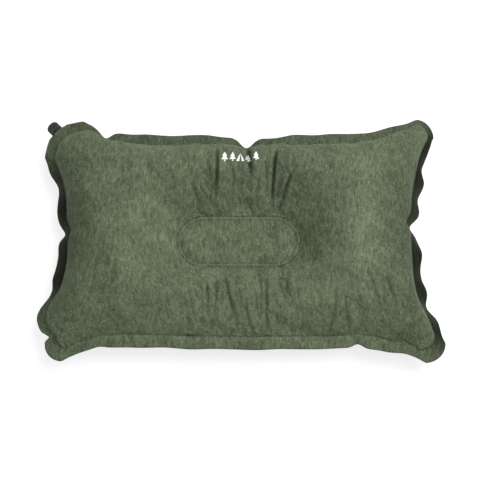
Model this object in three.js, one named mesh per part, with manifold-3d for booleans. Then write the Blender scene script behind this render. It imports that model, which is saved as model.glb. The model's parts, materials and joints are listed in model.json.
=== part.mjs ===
// A self-inflating camp pillow. Two coated fabric panels are welded to each other round their edge and round
// a long island in the middle, an open-cell foam core fills the space between them, and a twist valve sits in
// one corner. Millimetres; +X along the pillow, +Y from its front edge to its back edge, +Z up. The origin is
// on the ground under the middle of the pillow.

import * as THREE from "three";
import { mergeVertices } from "three/addons/utils/BufferGeometryUtils.js";
import Module from "manifold-3d";

const wasm = await Module();
wasm.setup();

// Whole pillow, inflated and lying on the ground
const LENGTH = 470; // over the corners, along X
const WIDTH = 302; // over the corners, along Y
const WELD_HEIGHT = 40; // of the edge weld above the ground
const CROWN_RISE = 48; // of the upper side above the weld
const BELLY_DROP = 54; // of the lower side below the weld, before the ground presses it flat

// Fabric panels
const FABRIC = 0.8; // thickness of the coated fabric
const TOUCH_GAP = 0.3; // between two pieces that touch
const FLANGE = 16; // width of the welded edge
const EDGE_ROLL = 46; // width over which the panels rise from the edge weld
const CORNER_RADIUS = 27;
const BACK_BOW = 19; // how far the back edge pulls in between its corners
const FRONT_BOW = 16;
const END_BOW = 21;
const LONG_FLARE = 6; // how suddenly the long edges flare out to the corners, as a power
const END_FLARE = 3;
const END_DROOP = 52; // degrees that the welded edge hangs down at the two ends
const LONG_DROOP = 8; // degrees that it hangs down at the front and the back

// Gathers that the inflated edge makes: place from the middle of the side's straight part, counted
// counter-clockwise, depth and half width
const GATHERS = {
  back: [
    { at: 5, depth: 18, spread: 14 },
    { at: 172, depth: 7, spread: 9 },
  ],
  left: [{ at: -19, depth: 12, spread: 12 }],
  front: [{ at: 135, depth: 5, spread: 9 }],
  right: [{ at: 15, depth: 13, spread: 13 }],
};

// Welded island in the middle
const ISLAND_LENGTH = 144;
const ISLAND_WIDTH = 64;
const ISLAND_ROLL = 64; // width over which the panels rise from the island

// Foam core
const FOAM_GAP = 0.6; // upright gap between the foam and the fabric

// Valve, measured along its axis from the outer edge of the corner
const VALVE_CORNER_RADIUS = 53;
const SEAT_RISE = 5.6; // of each panel over the valve seat
const SEAT_SPREAD = 19; // half width of the hump that the seat makes in the panels
const SEAT_EDGE = 1; // thickness of the seat's thin edges
const STEM_RADIUS = 3.8; // where the seat holds the stem
const BORE_RADIUS = 2.6;
const TAIL_LENGTH = 4; // of the stem inside the pillow
const BARB_RADIUS = 4.8;
const COLLAR_RADIUS = 6.4;
const COLLAR_THICKNESS = 1.2;
const NOSE_RADIUS = 4.6;
const NOSE_LENGTH = 9.6;
const THREAD_LEAD = 2; // the cap rises this far in one turn
const THREAD_HEIGHT = 0.8;
const THREAD_FOOT = 0.55; // half width of the thread at its foot
const THREAD_CREST = 0.25; // half width at its crest
const THREAD_START = 2.7;
const THREAD_TURNS = 1.1;
const CAP_TRAVEL_TURNS = 0.75; // that the cap opens by
const THREAD_OVERRUN = 0.25; // turns that the cap's groove runs past the thread's end
const RING_WIRE = 0.6; // radius of the O-ring's section
const RING_PLACE = 7.8;
const RING_GROOVE_DEPTH = 1.1;
const PLUG_RADIUS = 3.6;
const PLUG_HEAD = 0.8;
const PLUG_SHAFT_RADIUS = 1.1;
const PLUG_FIN_THICKNESS = 0.8;
const PLUG_FIN_LENGTH = 4.2;
const PLUG_FINS = 3;
const PLUG_PASSAGE = 0.6; // air gap between the nose and the plug's head
const GASKET_THICKNESS = 0.8;
const CAP_RADIUS = 7.7;
const CAP_END = 1.5; // thickness of the cap's end wall
const CAP_MOUTH_RADIUS = 2.2;
const CAP_ROUNDING = 2.2;
const CAP_RIBS = 20;
const CAP_RIB_HEIGHT = 0.45;
const RIB_POINTS = 4; // two on a rib's top and two in the furrow beside it

// Fineness of the faceted surfaces
const CROWN_RINGS = 6;
const FLANGE_RINGS = 1;
const LONG_SIDE_STEPS = 22;
const END_STEPS = 13;
const CORNER_STEPS = 6;
const VALVE_CORNER_STEPS = 24;
const ROUND_STEPS = 32;
const TRIM_STEPS = 160; // round the whole circle that the valve corner is a quarter of
const SEAT_STEPS = 16;
const WIRE_STEPS = 10;
const ROUNDING_STEPS = 4;

const COLOURS = {
  panel: 0x5d6a52,
  underside: 0x4a5543,
  foam: 0xd9cfa8,
  seat: 0x3a4036,
  stem: 0x202224,
  plug: 0x2c2e31,
  seal: 0x121212,
  cap: 0x2b2c2f,
};

const radians = THREE.MathUtils.degToRad;
const islandRadius = ISLAND_WIDTH / 2;
const islandSpine = (ISLAND_LENGTH - ISLAND_WIDTH) / 2;
const valveCentre = new THREE.Vector2(-LENGTH / 2 + VALVE_CORNER_RADIUS, WIDTH / 2 - VALVE_CORNER_RADIUS);
const valveAxis = new THREE.Vector2(-Math.SQRT1_2, Math.SQRT1_2);

// A mesh with its own material.
function piece(name, geometry, color, roughness, metalness = 0) {
  const material = new THREE.MeshStandardMaterial({ color, roughness, metalness });
  const mesh = new THREE.Mesh(geometry, material);
  mesh.name = name;
  return mesh;
}

// ---- Booleans ----

// A closed three.js geometry as a manifold-3d solid.
function solid(geometry) {
  const bare = geometry.index ? geometry.toNonIndexed() : geometry.clone();
  bare.deleteAttribute("normal");
  bare.deleteAttribute("uv");
  const merged = mergeVertices(bare, 1e-4);
  return new wasm.Manifold(
    new wasm.Mesh({
      numProp: 3,
      vertProperties: merged.attributes.position.array,
      triVerts: new Uint32Array(merged.index.array),
    }),
  );
}

// A manifold-3d solid as a three.js geometry.
function geometryOf(made) {
  const mesh = made.getMesh();
  const geometry = new THREE.BufferGeometry();
  geometry.setAttribute("position", new THREE.BufferAttribute(mesh.vertProperties, 3));
  geometry.setIndex(new THREE.BufferAttribute(mesh.triVerts, 1));
  return geometry;
}

// ---- Plan outline of the pillow ----

// How far the edge pulls in at a place along a side: the bow of the whole side plus its gathers.
function pullIn(along, half, bow, flare, gathers) {
  let depth = bow * (1 - Math.abs(along / half) ** flare);
  for (const gather of gathers) {
    const share = (along - gather.at) / gather.spread;
    depth += gather.depth * Math.exp(-share * share);
  }
  return depth;
}

// Points of one side, from just after one corner to just before the next. start and end are the side's ends,
// inward points into the pillow.
function sidePoints(start, end, inward, steps, bow, flare, gathers) {
  const half = start.distanceTo(end) / 2;
  const points = [];
  for (let i = 1; i < steps; i++) {
    const share = i / steps;
    const along = (2 * share - 1) * half;
    const depth = pullIn(along, half, bow, flare, gathers);
    points.push(start.clone().lerp(end, share).addScaledVector(inward, depth));
  }
  return points;
}

// Points of one rounded corner, its two ends included. quarter 0 is the one at +X +Y.
function cornerPoints(centre, radius, quarter, steps) {
  const points = [];
  for (let i = 0; i <= steps; i++) {
    const angle = (quarter + i / steps) * (Math.PI / 2);
    points.push(new THREE.Vector2(Math.cos(angle), Math.sin(angle)).multiplyScalar(radius).add(centre));
  }
  return points;
}

// The whole outline, counter-clockwise.
function outlinePoints() {
  const corners = [
    [1, 1, CORNER_RADIUS, CORNER_STEPS],
    [-1, 1, VALVE_CORNER_RADIUS, VALVE_CORNER_STEPS],
    [-1, -1, CORNER_RADIUS, CORNER_STEPS],
    [1, -1, CORNER_RADIUS, CORNER_STEPS],
  ].map(([x, y, radius, steps], quarter) => {
    const centre = new THREE.Vector2(x * (LENGTH / 2 - radius), y * (WIDTH / 2 - radius));
    return cornerPoints(centre, radius, quarter, steps);
  });
  const sides = [
    [new THREE.Vector2(0, -1), LONG_SIDE_STEPS, BACK_BOW, LONG_FLARE, GATHERS.back],
    [new THREE.Vector2(1, 0), END_STEPS, END_BOW, END_FLARE, GATHERS.left],
    [new THREE.Vector2(0, 1), LONG_SIDE_STEPS, FRONT_BOW, LONG_FLARE, GATHERS.front],
    [new THREE.Vector2(-1, 0), END_STEPS, END_BOW, END_FLARE, GATHERS.right],
  ];
  return corners.flatMap((corner, i) => {
    const next = corners[(i + 1) % corners.length];
    return [...corner, ...sidePoints(corner.at(-1), next[0], ...sides[i])];
  });
}

// ---- Spokes: lines from the island's spine to the outline, which every panel and the foam are built on ----

function smooth(low, high, value) {
  return THREE.MathUtils.smoothstep(value, low, high);
}

// How far to the side of the valve's axis a plan point lies, and 0 to 1 for how near the valve it is.
function besideValve(point) {
  const away = point.clone().sub(valveCentre);
  const ahead = away.dot(valveAxis);
  const aside = Math.abs(away.cross(valveAxis));
  return { aside, near: ahead > 0 ? 1 - smooth(SEAT_SPREAD, 2 * SEAT_SPREAD, aside) : 0 };
}

function spokes() {
  const outline = outlinePoints();
  return outline.map((point, i) => {
    const before = outline.at(i - 1);
    const after = outline[(i + 1) % outline.length];
    const along = after.clone().sub(before).normalize();
    const root = new THREE.Vector2(THREE.MathUtils.clamp(point.x, -islandSpine, islandSpine), 0);
    const reach = point.distanceTo(root);
    const way = point.clone().sub(root).divideScalar(reach);
    const hang = THREE.MathUtils.lerp(LONG_DROOP, END_DROOP, along.y * along.y);
    const droop = radians(hang * (1 - besideValve(point).near));
    return { root, way, reach, droop, seam: reach - FLANGE * Math.cos(droop) };
  });
}

// A rise from 0 to 1 over the given width: a parabola, or with its root taken a steeper quarter-ellipse.
function roll(distance, width) {
  const left = 1 - THREE.MathUtils.clamp(distance / width, 0, 1);
  return 1 - left * left;
}

// Height of a skin over the weld, at a distance from the island's spine. inset is how far the skin lies
// inside the fabric's outer face.
function crownHeight(spoke, distance, rise, inset) {
  const fromEdge = Math.sqrt(roll(spoke.seam - inset - distance, EDGE_ROLL));
  const fromIsland = roll(distance - islandRadius - inset, ISLAND_ROLL);
  return rise * fromEdge * fromIsland;
}

// Height of the hump over the valve seat, which runs out inside the pillow.
function seatHump(point, fromSeam) {
  const { aside, near } = besideValve(point);
  if (near === 0 || aside > SEAT_SPREAD) return 0;
  const fade = 1 - smooth(0, 2 * SEAT_SPREAD, fromSeam);
  return SEAT_RISE * fade * Math.cos((Math.PI / 2) * (aside / SEAT_SPREAD)) ** 2;
}

// One closed ring of points, with a distance from the spine and a height for each spoke.
function ring(allSpokes, distanceOf, heightOf) {
  return allSpokes.map((spoke) => {
    const distance = distanceOf(spoke);
    const plan = spoke.root.clone().addScaledVector(spoke.way, distance);
    return new THREE.Vector3(plan.x, plan.y, heightOf(spoke, distance, plan));
  });
}

// The rings of one skin from the island out to the seam, closer together near the welds.
function crownRings(allSpokes, side, rise, inset, base, floor) {
  return Array.from({ length: CROWN_RINGS + 1 }, (_, i) => {
    const share = (1 - Math.cos((Math.PI * i) / CROWN_RINGS)) / 2;
    const distanceOf = (spoke) => THREE.MathUtils.lerp(islandRadius + inset, spoke.seam - inset, share);
    return ring(allSpokes, distanceOf, (spoke, distance, plan) => {
      const hump = seatHump(plan, spoke.seam - distance);
      const height = Math.hypot(crownHeight(spoke, distance, rise, inset), hump);
      return Math.max(WELD_HEIGHT + side * (base + height), floor);
    });
  });
}

// The rings of the welded edge, from the seam outwards.
function flangeRings(allSpokes, side, base) {
  return Array.from({ length: FLANGE_RINGS }, (_, i) => {
    const share = (i + 1) / FLANGE_RINGS;
    const distanceOf = (spoke) => THREE.MathUtils.lerp(spoke.seam, spoke.reach, share);
    return ring(allSpokes, distanceOf, (spoke, _distance, plan) => {
      const fall = FLANGE * Math.sin(spoke.droop) * share;
      return WELD_HEIGHT - fall + side * (base + seatHump(plan, 0));
    });
  });
}

// The two faces between four points, split along whichever diagonal is shorter in plan, so that skins which
// run one above the other are always split alike.
function quadFaces(points, innerA, innerB, outerA, outerB) {
  const span = (a, b) => Math.hypot(points[a].x - points[b].x, points[a].y - points[b].y);
  if (span(innerA, outerB) <= span(outerA, innerB)) return [innerA, outerA, outerB, innerA, outerB, innerB];
  return [outerA, outerB, innerB, outerA, innerB, innerA];
}

// A closed surface through rings of equal length. With capped, its two ends are closed with fans, otherwise
// the last ring joins the first.
function loft(rings, capped) {
  const count = rings[0].length;
  const points = rings.flat();
  const faces = [];
  const bands = capped ? rings.length - 1 : rings.length;
  for (let r = 0; r < bands; r++) {
    const inner = r * count;
    const outer = ((r + 1) % rings.length) * count;
    for (let i = 0; i < count; i++) {
      const j = (i + 1) % count;
      faces.push(...quadFaces(points, inner + i, inner + j, outer + i, outer + j));
    }
  }
  if (capped) {
    const last = (rings.length - 1) * count;
    points.push(middle(rings[0]), middle(rings.at(-1)));
    for (let i = 0; i < count; i++) {
      const j = (i + 1) % count;
      faces.push(points.length - 2, i, j, points.length - 1, last + j, last + i);
    }
  }
  return facingOut(points, faces);
}

function middle(points) {
  return points.reduce((sum, p) => sum.add(p), new THREE.Vector3()).divideScalar(points.length);
}

// A geometry from points and faces, turned so that its faces point out.
function facingOut(points, faces) {
  const cross = new THREE.Vector3();
  let volume = 0;
  for (let i = 0; i < faces.length; i += 3) {
    const [a, b, c] = [points[faces[i]], points[faces[i + 1]], points[faces[i + 2]]];
    volume += a.dot(cross.crossVectors(b, c));
  }
  return new THREE.BufferGeometry().setFromPoints(points).setIndex(volume < 0 ? [...faces].reverse() : faces);
}

// ---- Soft pieces ----

function upperInnerSkin(allSpokes) {
  return crownRings(allSpokes, 1, CROWN_RISE, FABRIC, TOUCH_GAP / 2, 0);
}

function lowerInnerSkin(allSpokes) {
  return crownRings(allSpokes, -1, BELLY_DROP, FABRIC, TOUCH_GAP / 2, FABRIC);
}

// The upper panel runs out along its outer skin and back along its inner skin.
function topPanelGeometry(allSpokes) {
  const face = TOUCH_GAP / 2;
  const outer = [
    ...crownRings(allSpokes, 1, CROWN_RISE, 0, face + FABRIC, 0),
    ...flangeRings(allSpokes, 1, face + FABRIC),
  ];
  const inner = [...upperInnerSkin(allSpokes), ...flangeRings(allSpokes, 1, face)];
  return loft([...outer, ...inner.reverse()], true);
}

// The lower panel runs out along its inner skin and back along its outer skin.
function bottomPanelGeometry(allSpokes) {
  const face = TOUCH_GAP / 2;
  const outer = [
    ...crownRings(allSpokes, -1, BELLY_DROP, 0, face + FABRIC, 0),
    ...flangeRings(allSpokes, -1, face + FABRIC),
  ];
  const inner = [...lowerInnerSkin(allSpokes), ...flangeRings(allSpokes, -1, face)];
  return loft([...inner, ...outer.reverse()], true);
}

// The foam core: a slab between the inner skins. It is cut square one ring short of the welds, which leaves
// room for the valve's tail.
function foamGeometry(allSpokes) {
  const cut = (rings, side) => {
    const kept = rings.slice(1, -1);
    return kept.map((points) => points.map((p) => p.setZ(p.z - side * FOAM_GAP)));
  };
  const upper = cut(upperInnerSkin(allSpokes), 1);
  const lower = cut(lowerInnerSkin(allSpokes), -1);
  return loft([...upper.reverse(), ...lower], false);
}

// ---- Valve, in its own frame: +Z outwards along its axis, +Y up, origin at the corner's outer edge ----

function valvePlace() {
  const up = new THREE.Vector3(0, 0, 1);
  const out = new THREE.Vector3(valveAxis.x, valveAxis.y, 0);
  const origin = valveCentre.clone().addScaledVector(valveAxis, VALVE_CORNER_RADIUS);
  return new THREE.Matrix4()
    .makeBasis(new THREE.Vector3().crossVectors(up, out), up, out)
    .setPosition(origin.x, origin.y, WELD_HEIGHT);
}

// A turned piece from [radius, place along the axis] pairs, which close on themselves or run from the axis
// back to it.
function turned(profile, steps = ROUND_STEPS) {
  const points = profile.map(([radius, along]) => new THREE.Vector2(radius, along));
  return new THREE.LatheGeometry(points, steps).rotateX(Math.PI / 2);
}

// A ring-shaped profile closes on its own first point.
function turnedRing(profile, steps = ROUND_STEPS) {
  return turned([...profile, profile[0]], steps);
}

// The solid of a turned piece, whichever way its profile runs.
function turnedSolid(geometry) {
  const made = solid(geometry);
  if (made.volume() > 0) return made;
  const flipped = geometry.index.array.slice().reverse();
  return solid(geometry.clone().setIndex(new THREE.BufferAttribute(flipped, 1)));
}

// A right-hand helical ridge with a trapezoid section, for a thread or for the groove that clears it.
// grow widens it on every side.
function helix(turns, start, grow) {
  const steps = Math.ceil(turns * ROUND_STEPS);
  const root = (NOSE_RADIUS + BORE_RADIUS) / 2;
  const crest = NOSE_RADIUS + THREAD_HEIGHT + grow;
  const section = [
    [root, -THREAD_FOOT - grow],
    [crest, -THREAD_CREST - grow],
    [crest, THREAD_CREST + grow],
    [root, THREAD_FOOT + grow],
  ];
  const rings = Array.from({ length: steps + 1 }, (_, i) => {
    const turn = (i / steps) * turns;
    const angle = 2 * Math.PI * turn;
    return section.map(
      ([radius, along]) =>
        new THREE.Vector3(
          radius * Math.cos(angle),
          radius * Math.sin(angle),
          start + turn * THREAD_LEAD + along,
        ),
    );
  });
  return solid(loft(rings, true));
}

// The soft seat welded between the panels, thick in the middle and thin at its edges.
function seatGeometry() {
  const reach = SEAT_SPREAD * (2 / Math.PI) * Math.acos(Math.sqrt(SEAT_EDGE / SEAT_RISE));
  const upper = Array.from({ length: SEAT_STEPS + 1 }, (_, i) => {
    const x = THREE.MathUtils.lerp(reach, -reach, i / SEAT_STEPS);
    const hump = SEAT_RISE * Math.cos((Math.PI / 2) * (x / SEAT_SPREAD)) ** 2;
    return new THREE.Vector2(x, hump - TOUCH_GAP);
  });
  const lower = upper.map((p) => new THREE.Vector2(-p.x, -p.y));
  const shape = new THREE.Shape([...upper, ...lower]);
  const block = new THREE.ExtrudeGeometry(shape, { depth: FLANGE, bevelEnabled: false });
  block.translate(0, 0, -FLANGE);
  const edge = VALVE_CORNER_RADIUS;
  const trim = new THREE.CylinderGeometry(edge, edge, 4 * SEAT_RISE, TRIM_STEPS);
  trim.translate(0, 0, -edge);
  const hole = STEM_RADIUS + TOUCH_GAP;
  const bore = new THREE.CylinderGeometry(hole, hole, 4 * FLANGE, ROUND_STEPS);
  bore.rotateX(Math.PI / 2);
  return geometryOf(solid(block).intersect(solid(trim)).subtract(solid(bore)));
}

const collarStart = TOUCH_GAP;
const collarEnd = collarStart + COLLAR_THICKNESS;
const headStart = NOSE_LENGTH + PLUG_PASSAGE;
const gasketStart = headStart + PLUG_HEAD + TOUCH_GAP;
const capCeiling = gasketStart + GASKET_THICKNESS + TOUCH_GAP;
const capStart = collarEnd + TOUCH_GAP;
const capEnd = capCeiling + CAP_END;
const ringRadius = NOSE_RADIUS + TOUCH_GAP - RING_WIRE;

// The rigid stem: a tail with a barb, a collar, and a threaded nose with a groove for the O-ring.
function stemGeometry() {
  const tail = -FLANGE - TAIL_LENGTH;
  const groove = RING_WIRE + TOUCH_GAP;
  const body = turnedRing([
    [BORE_RADIUS, tail],
    [STEM_RADIUS, tail],
    [BARB_RADIUS, -FLANGE - 2 * TOUCH_GAP],
    [STEM_RADIUS, -FLANGE - TOUCH_GAP],
    [STEM_RADIUS, collarStart],
    [COLLAR_RADIUS, collarStart],
    [COLLAR_RADIUS, collarEnd],
    [NOSE_RADIUS, collarEnd],
    [NOSE_RADIUS, RING_PLACE - groove],
    [NOSE_RADIUS - RING_GROOVE_DEPTH, RING_PLACE - groove],
    [NOSE_RADIUS - RING_GROOVE_DEPTH, RING_PLACE + groove],
    [NOSE_RADIUS, RING_PLACE + groove],
    [NOSE_RADIUS, NOSE_LENGTH - TOUCH_GAP],
    [NOSE_RADIUS - TOUCH_GAP, NOSE_LENGTH],
    [BORE_RADIUS, NOSE_LENGTH],
  ]);
  return geometryOf(turnedSolid(body).add(helix(THREAD_TURNS, THREAD_START, 0)));
}

function ringGeometry() {
  const wire = Array.from({ length: WIRE_STEPS }, (_, i) => {
    const angle = (i / WIRE_STEPS) * 2 * Math.PI;
    return [ringRadius + RING_WIRE * Math.cos(angle), RING_PLACE + RING_WIRE * Math.sin(angle)];
  });
  return geometryOf(turnedSolid(turnedRing(wire)));
}

// The stopper that the cap closes on: a mushroom head on a finned shaft that stands in the stem's bore.
function plugGeometry() {
  const foot = NOSE_LENGTH - PLUG_FIN_LENGTH;
  const mushroom = turned([
    [0, foot],
    [PLUG_SHAFT_RADIUS, foot],
    [PLUG_SHAFT_RADIUS, headStart],
    [PLUG_RADIUS, headStart],
    [PLUG_RADIUS, headStart + PLUG_HEAD / 2],
    [PLUG_RADIUS - PLUG_HEAD / 2, headStart + PLUG_HEAD],
    [0, headStart + PLUG_HEAD],
  ]);
  const reach = BORE_RADIUS - TOUCH_GAP;
  let made = turnedSolid(mushroom);
  for (let i = 0; i < PLUG_FINS; i++) {
    const fin = new THREE.BoxGeometry(reach, PLUG_FIN_THICKNESS, PLUG_FIN_LENGTH - TOUCH_GAP);
    fin.translate(reach / 2, 0, NOSE_LENGTH - PLUG_FIN_LENGTH / 2 - TOUCH_GAP / 2);
    fin.rotateZ((i / PLUG_FINS) * 2 * Math.PI);
    made = made.add(solid(fin));
  }
  return geometryOf(made);
}

function gasketGeometry() {
  const outer = NOSE_RADIUS;
  return geometryOf(
    turnedSolid(
      turnedRing([
        [CAP_MOUTH_RADIUS, gasketStart],
        [outer, gasketStart],
        [outer, gasketStart + GASKET_THICKNESS],
        [CAP_MOUTH_RADIUS, gasketStart + GASKET_THICKNESS],
      ]),
    ),
  );
}

// The twist cap: a ribbed barrel with a rounded end and a mouth, threaded inside its skirt.
function capGeometry() {
  const steps = RIB_POINTS * CAP_RIBS;
  const ribbed = new THREE.Shape(
    Array.from({ length: steps }, (_, i) => {
      const angle = (i / steps) * 2 * Math.PI;
      const radius = CAP_RADIUS - (i % RIB_POINTS >= RIB_POINTS / 2 ? CAP_RIB_HEIGHT : 0);
      return new THREE.Vector2(radius * Math.cos(angle), radius * Math.sin(angle));
    }),
  );
  const barrel = new THREE.ExtrudeGeometry(ribbed, { depth: capEnd - capStart, bevelEnabled: false });
  barrel.translate(0, 0, capStart);
  const rounding = Array.from({ length: ROUNDING_STEPS + 1 }, (_, i) => {
    const angle = (i / ROUNDING_STEPS) * (Math.PI / 2);
    return [
      CAP_RADIUS - CAP_ROUNDING + CAP_ROUNDING * Math.cos(angle),
      capEnd - CAP_ROUNDING + CAP_ROUNDING * Math.sin(angle),
    ];
  });
  const barrelProfile = [
    [0, capStart],
    [CAP_RADIUS - CAP_RIB_HEIGHT, capStart],
    [CAP_RADIUS, capStart + CAP_RIB_HEIGHT],
    ...rounding,
    [0, capEnd],
  ];
  const envelope = turned(barrelProfile, 2 * ROUND_STEPS);
  const skirtBore = NOSE_RADIUS + TOUCH_GAP;
  const chamber = ringRadius + RING_WIRE + TOUCH_GAP;
  const threadEnd = RING_PLACE - RING_WIRE - TOUCH_GAP - CAP_TRAVEL_TURNS * THREAD_LEAD;
  const hollow = turned([
    [0, 0],
    [skirtBore, 0],
    [skirtBore, threadEnd],
    [chamber, threadEnd + (chamber - skirtBore)],
    [chamber, capCeiling],
    [CAP_MOUTH_RADIUS, capCeiling],
    [CAP_MOUTH_RADIUS, 2 * capEnd],
    [0, 2 * capEnd],
  ]);
  // The groove starts a turn early, so that it is open at the skirt.
  const groove = helix(1 + THREAD_TURNS + THREAD_OVERRUN, THREAD_START - THREAD_LEAD, TOUCH_GAP);
  return geometryOf(
    solid(barrel).intersect(turnedSolid(envelope)).subtract(turnedSolid(hollow)).subtract(groove),
  );
}

// ---- Assembly ----

const pillow = new THREE.Group();
const allSpokes = spokes();
pillow.add(
  piece("top_panel", topPanelGeometry(allSpokes), COLOURS.panel, 0.95),
  piece("bottom_panel", bottomPanelGeometry(allSpokes), COLOURS.underside, 0.8),
  piece("foam_core", foamGeometry(allSpokes), COLOURS.foam, 1),
);

const valve = new THREE.Group();
valve.applyMatrix4(valvePlace());
valve.add(
  piece("valve_seat", seatGeometry(), COLOURS.seat, 0.6),
  piece("valve_stem", stemGeometry(), COLOURS.stem, 0.45),
  piece("stem_o_ring", ringGeometry(), COLOURS.seal, 0.7),
  piece("valve_plug", plugGeometry(), COLOURS.plug, 0.5),
  piece("cap_gasket", gasketGeometry(), COLOURS.seal, 0.75),
  piece("valve_cap", capGeometry(), COLOURS.cap, 0.5),
);
pillow.add(valve);

export default pillow;
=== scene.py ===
"""Looks of a self-inflating camp pillow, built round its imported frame.

Two brushed fabric panels are welded to each other round their edge and round a long island in the middle. A foam
core fills the space between them, and a black twist valve stands in one corner. Everything is in metres.
"""

import json
import logging
import math
from dataclasses import dataclass
from enum import Enum, IntEnum
from typing import Callable

import bpy
import numpy as np
from mathutils import Matrix, Vector


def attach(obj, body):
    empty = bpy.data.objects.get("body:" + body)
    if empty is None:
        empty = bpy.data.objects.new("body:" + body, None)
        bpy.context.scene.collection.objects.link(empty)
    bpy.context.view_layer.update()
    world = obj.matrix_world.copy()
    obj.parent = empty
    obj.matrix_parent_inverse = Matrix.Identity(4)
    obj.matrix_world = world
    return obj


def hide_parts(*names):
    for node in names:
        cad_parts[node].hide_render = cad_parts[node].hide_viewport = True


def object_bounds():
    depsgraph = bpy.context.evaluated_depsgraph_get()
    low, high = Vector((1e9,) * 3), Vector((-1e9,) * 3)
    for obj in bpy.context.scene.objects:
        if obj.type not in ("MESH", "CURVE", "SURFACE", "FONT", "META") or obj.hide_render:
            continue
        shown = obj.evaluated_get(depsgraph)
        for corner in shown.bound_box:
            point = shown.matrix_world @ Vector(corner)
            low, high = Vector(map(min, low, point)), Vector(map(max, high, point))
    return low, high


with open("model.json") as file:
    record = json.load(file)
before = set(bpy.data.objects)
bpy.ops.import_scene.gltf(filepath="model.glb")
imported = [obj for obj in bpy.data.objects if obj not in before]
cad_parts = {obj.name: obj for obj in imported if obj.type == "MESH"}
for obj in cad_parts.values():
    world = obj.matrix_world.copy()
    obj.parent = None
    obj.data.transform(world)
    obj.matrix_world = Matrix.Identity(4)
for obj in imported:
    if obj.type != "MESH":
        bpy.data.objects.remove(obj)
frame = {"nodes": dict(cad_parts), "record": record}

LOG = logging.getLogger("camp_pillow")
CAD_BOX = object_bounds()
CAD_LOW, CAD_HIGH = (np.array(corner, dtype=float) for corner in CAD_BOX)
MM = 0.001
# Half the gap between the two panels where they are welded, because each is a piece of its own.
TOUCH = 0.15 * MM


@dataclass(frozen=True)
class ValveLine:
    """Where the valve stands, as the frame's record states it.

    Attributes:
        at: the point where its axis leaves the corner's welded edge.
        axis: unit direction of the axis, pointing out.
    """

    at: tuple[float, float, float]
    axis: tuple[float, float, float]

    @classmethod
    def from_record(cls) -> "ValveLine":
        """Reads the axis from the cap's turning joint.

        Returns:
            The valve's line.
        """
        for joint in frame["record"]["behaviour"]["joints"]:
            if joint["type"] == "hinge":
                return cls(tuple(joint["pos_m"]), tuple(Vector(joint["axis"]).normalized()))
        raise ValueError("the record has no turning joint")

    def matrix(self) -> Matrix:
        """Places a piece that was made along +Z, with its foot at the origin, on the valve's axis.

        Returns:
            The change of place and direction.
        """
        out = Vector(self.axis)
        up = Vector((0, 0, 1))
        turn = Matrix((up.cross(out), up, out)).transposed().to_4x4()
        return Matrix.Translation(self.at) @ turn

    def span(self, node: str) -> tuple[float, float, float]:
        """Where a frame node starts and ends along the axis, and its largest radius.

        Args:
            node: name of the node.

        Returns:
            Start, end and radius.
        """
        mesh = frame["nodes"][node].data
        points = np.empty(len(mesh.vertices) * 3)
        mesh.vertices.foreach_get("co", points)
        off = points.reshape(-1, 3) - np.array(self.at)
        along = off @ np.array(self.axis)
        radius = np.linalg.norm(off - along[:, None] * np.array(self.axis), axis=1)
        return float(along.min()), float(along.max()), float(radius.max())


VALVE = ValveLine.from_record()


# ---------------------------------------------------------------- small numeric helpers


def smoothstep(low: float, high: float, value: np.ndarray) -> np.ndarray:
    """An S-shaped ramp.

    Args:
        low: where it leaves 0.
        high: where it reaches 1.
        value: places on the ramp.

    Returns:
        The heights, from 0 to 1.
    """
    share = np.clip((value - low) / (high - low), 0, 1)
    return share * share * (3 - 2 * share)


def bell(off: np.ndarray, spread: float) -> np.ndarray:
    """A bell curve of the given spread, 1 in its middle, at each distance from there."""
    return np.exp(-((off / spread) ** 2))


def smooth_loop(points: np.ndarray, reach: int) -> np.ndarray:
    """A closed row of points with its kinks rounded.

    Args:
        points: the points, one row each.
        reach: how many neighbours on each side count.

    Returns:
        The rounded points.
    """
    weights = np.cos(np.linspace(-1, 1, 2 * reach + 3)[1:-1] * math.pi / 2) ** 2
    weights /= weights.sum()
    return sum(w * np.roll(points, k - reach, axis=0) for k, w in enumerate(weights))


def doubled(rows: np.ndarray, closed: bool) -> np.ndarray:
    """Values on a grid with a new row between each two, on a smooth curve through them.

    Args:
        rows: values, rows first.
        closed: whether the last row is followed by the first.

    Returns:
        The finer grid, one row short of twice as many when it is open.
    """
    if closed:
        before, after, far = np.roll(rows, 1, 0), np.roll(rows, -1, 0), np.roll(rows, -2, 0)
        middle = (9 * (rows + after) - before - far) / 16
    else:
        longer = np.concatenate([2 * rows[:1] - rows[1:2], rows, 2 * rows[-1:] - rows[-2:-1]])
        middle = (9 * (longer[1:-2] + longer[2:-1]) - longer[:-3] - longer[3:]) / 16
    result = np.empty((len(rows) + len(middle),) + rows.shape[1:])
    result[0::2], result[1::2] = rows, middle
    return result


class Ripple:
    """Smooth repeatable unevenness over the plan, made of waves that run in many directions."""

    def __init__(self, seed: int, longest: float, shortest: float, count: int, lean: float = 0.0) -> None:
        """Chooses the waves.

        Args:
            seed: number that fixes the choice.
            longest: longest wave.
            shortest: shortest wave.
            count: number of waves.
            lean: from 0 to 1, how much the crests line up with the Y axis.
        """
        chosen = np.random.default_rng(seed)
        length = np.exp(chosen.uniform(math.log(shortest), math.log(longest), count))
        heading = chosen.uniform(0, math.pi, count) * (1 - lean) + chosen.normal(0, 0.25, count) * lean
        self.way = np.stack([np.cos(heading), np.sin(heading)]) * math.tau / length
        self.phase = chosen.uniform(0, math.tau, count)
        self.size = (length / longest) ** 0.6
        self.size /= math.sqrt((self.size**2).sum() / 2)

    def at(self, plan: np.ndarray) -> np.ndarray:
        """Heights of the ripple, about 1 in size.

        Args:
            plan: points, with x and y in the last axis.

        Returns:
            One height for each point.
        """
        total = np.zeros(plan.shape[:-1])
        for k, size in enumerate(self.size):
            total += size * np.sin(plan[..., 0] * self.way[0, k] + plan[..., 1] * self.way[1, k] + self.phase[k])
        return total


# ---------------------------------------------------------------- plan


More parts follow.
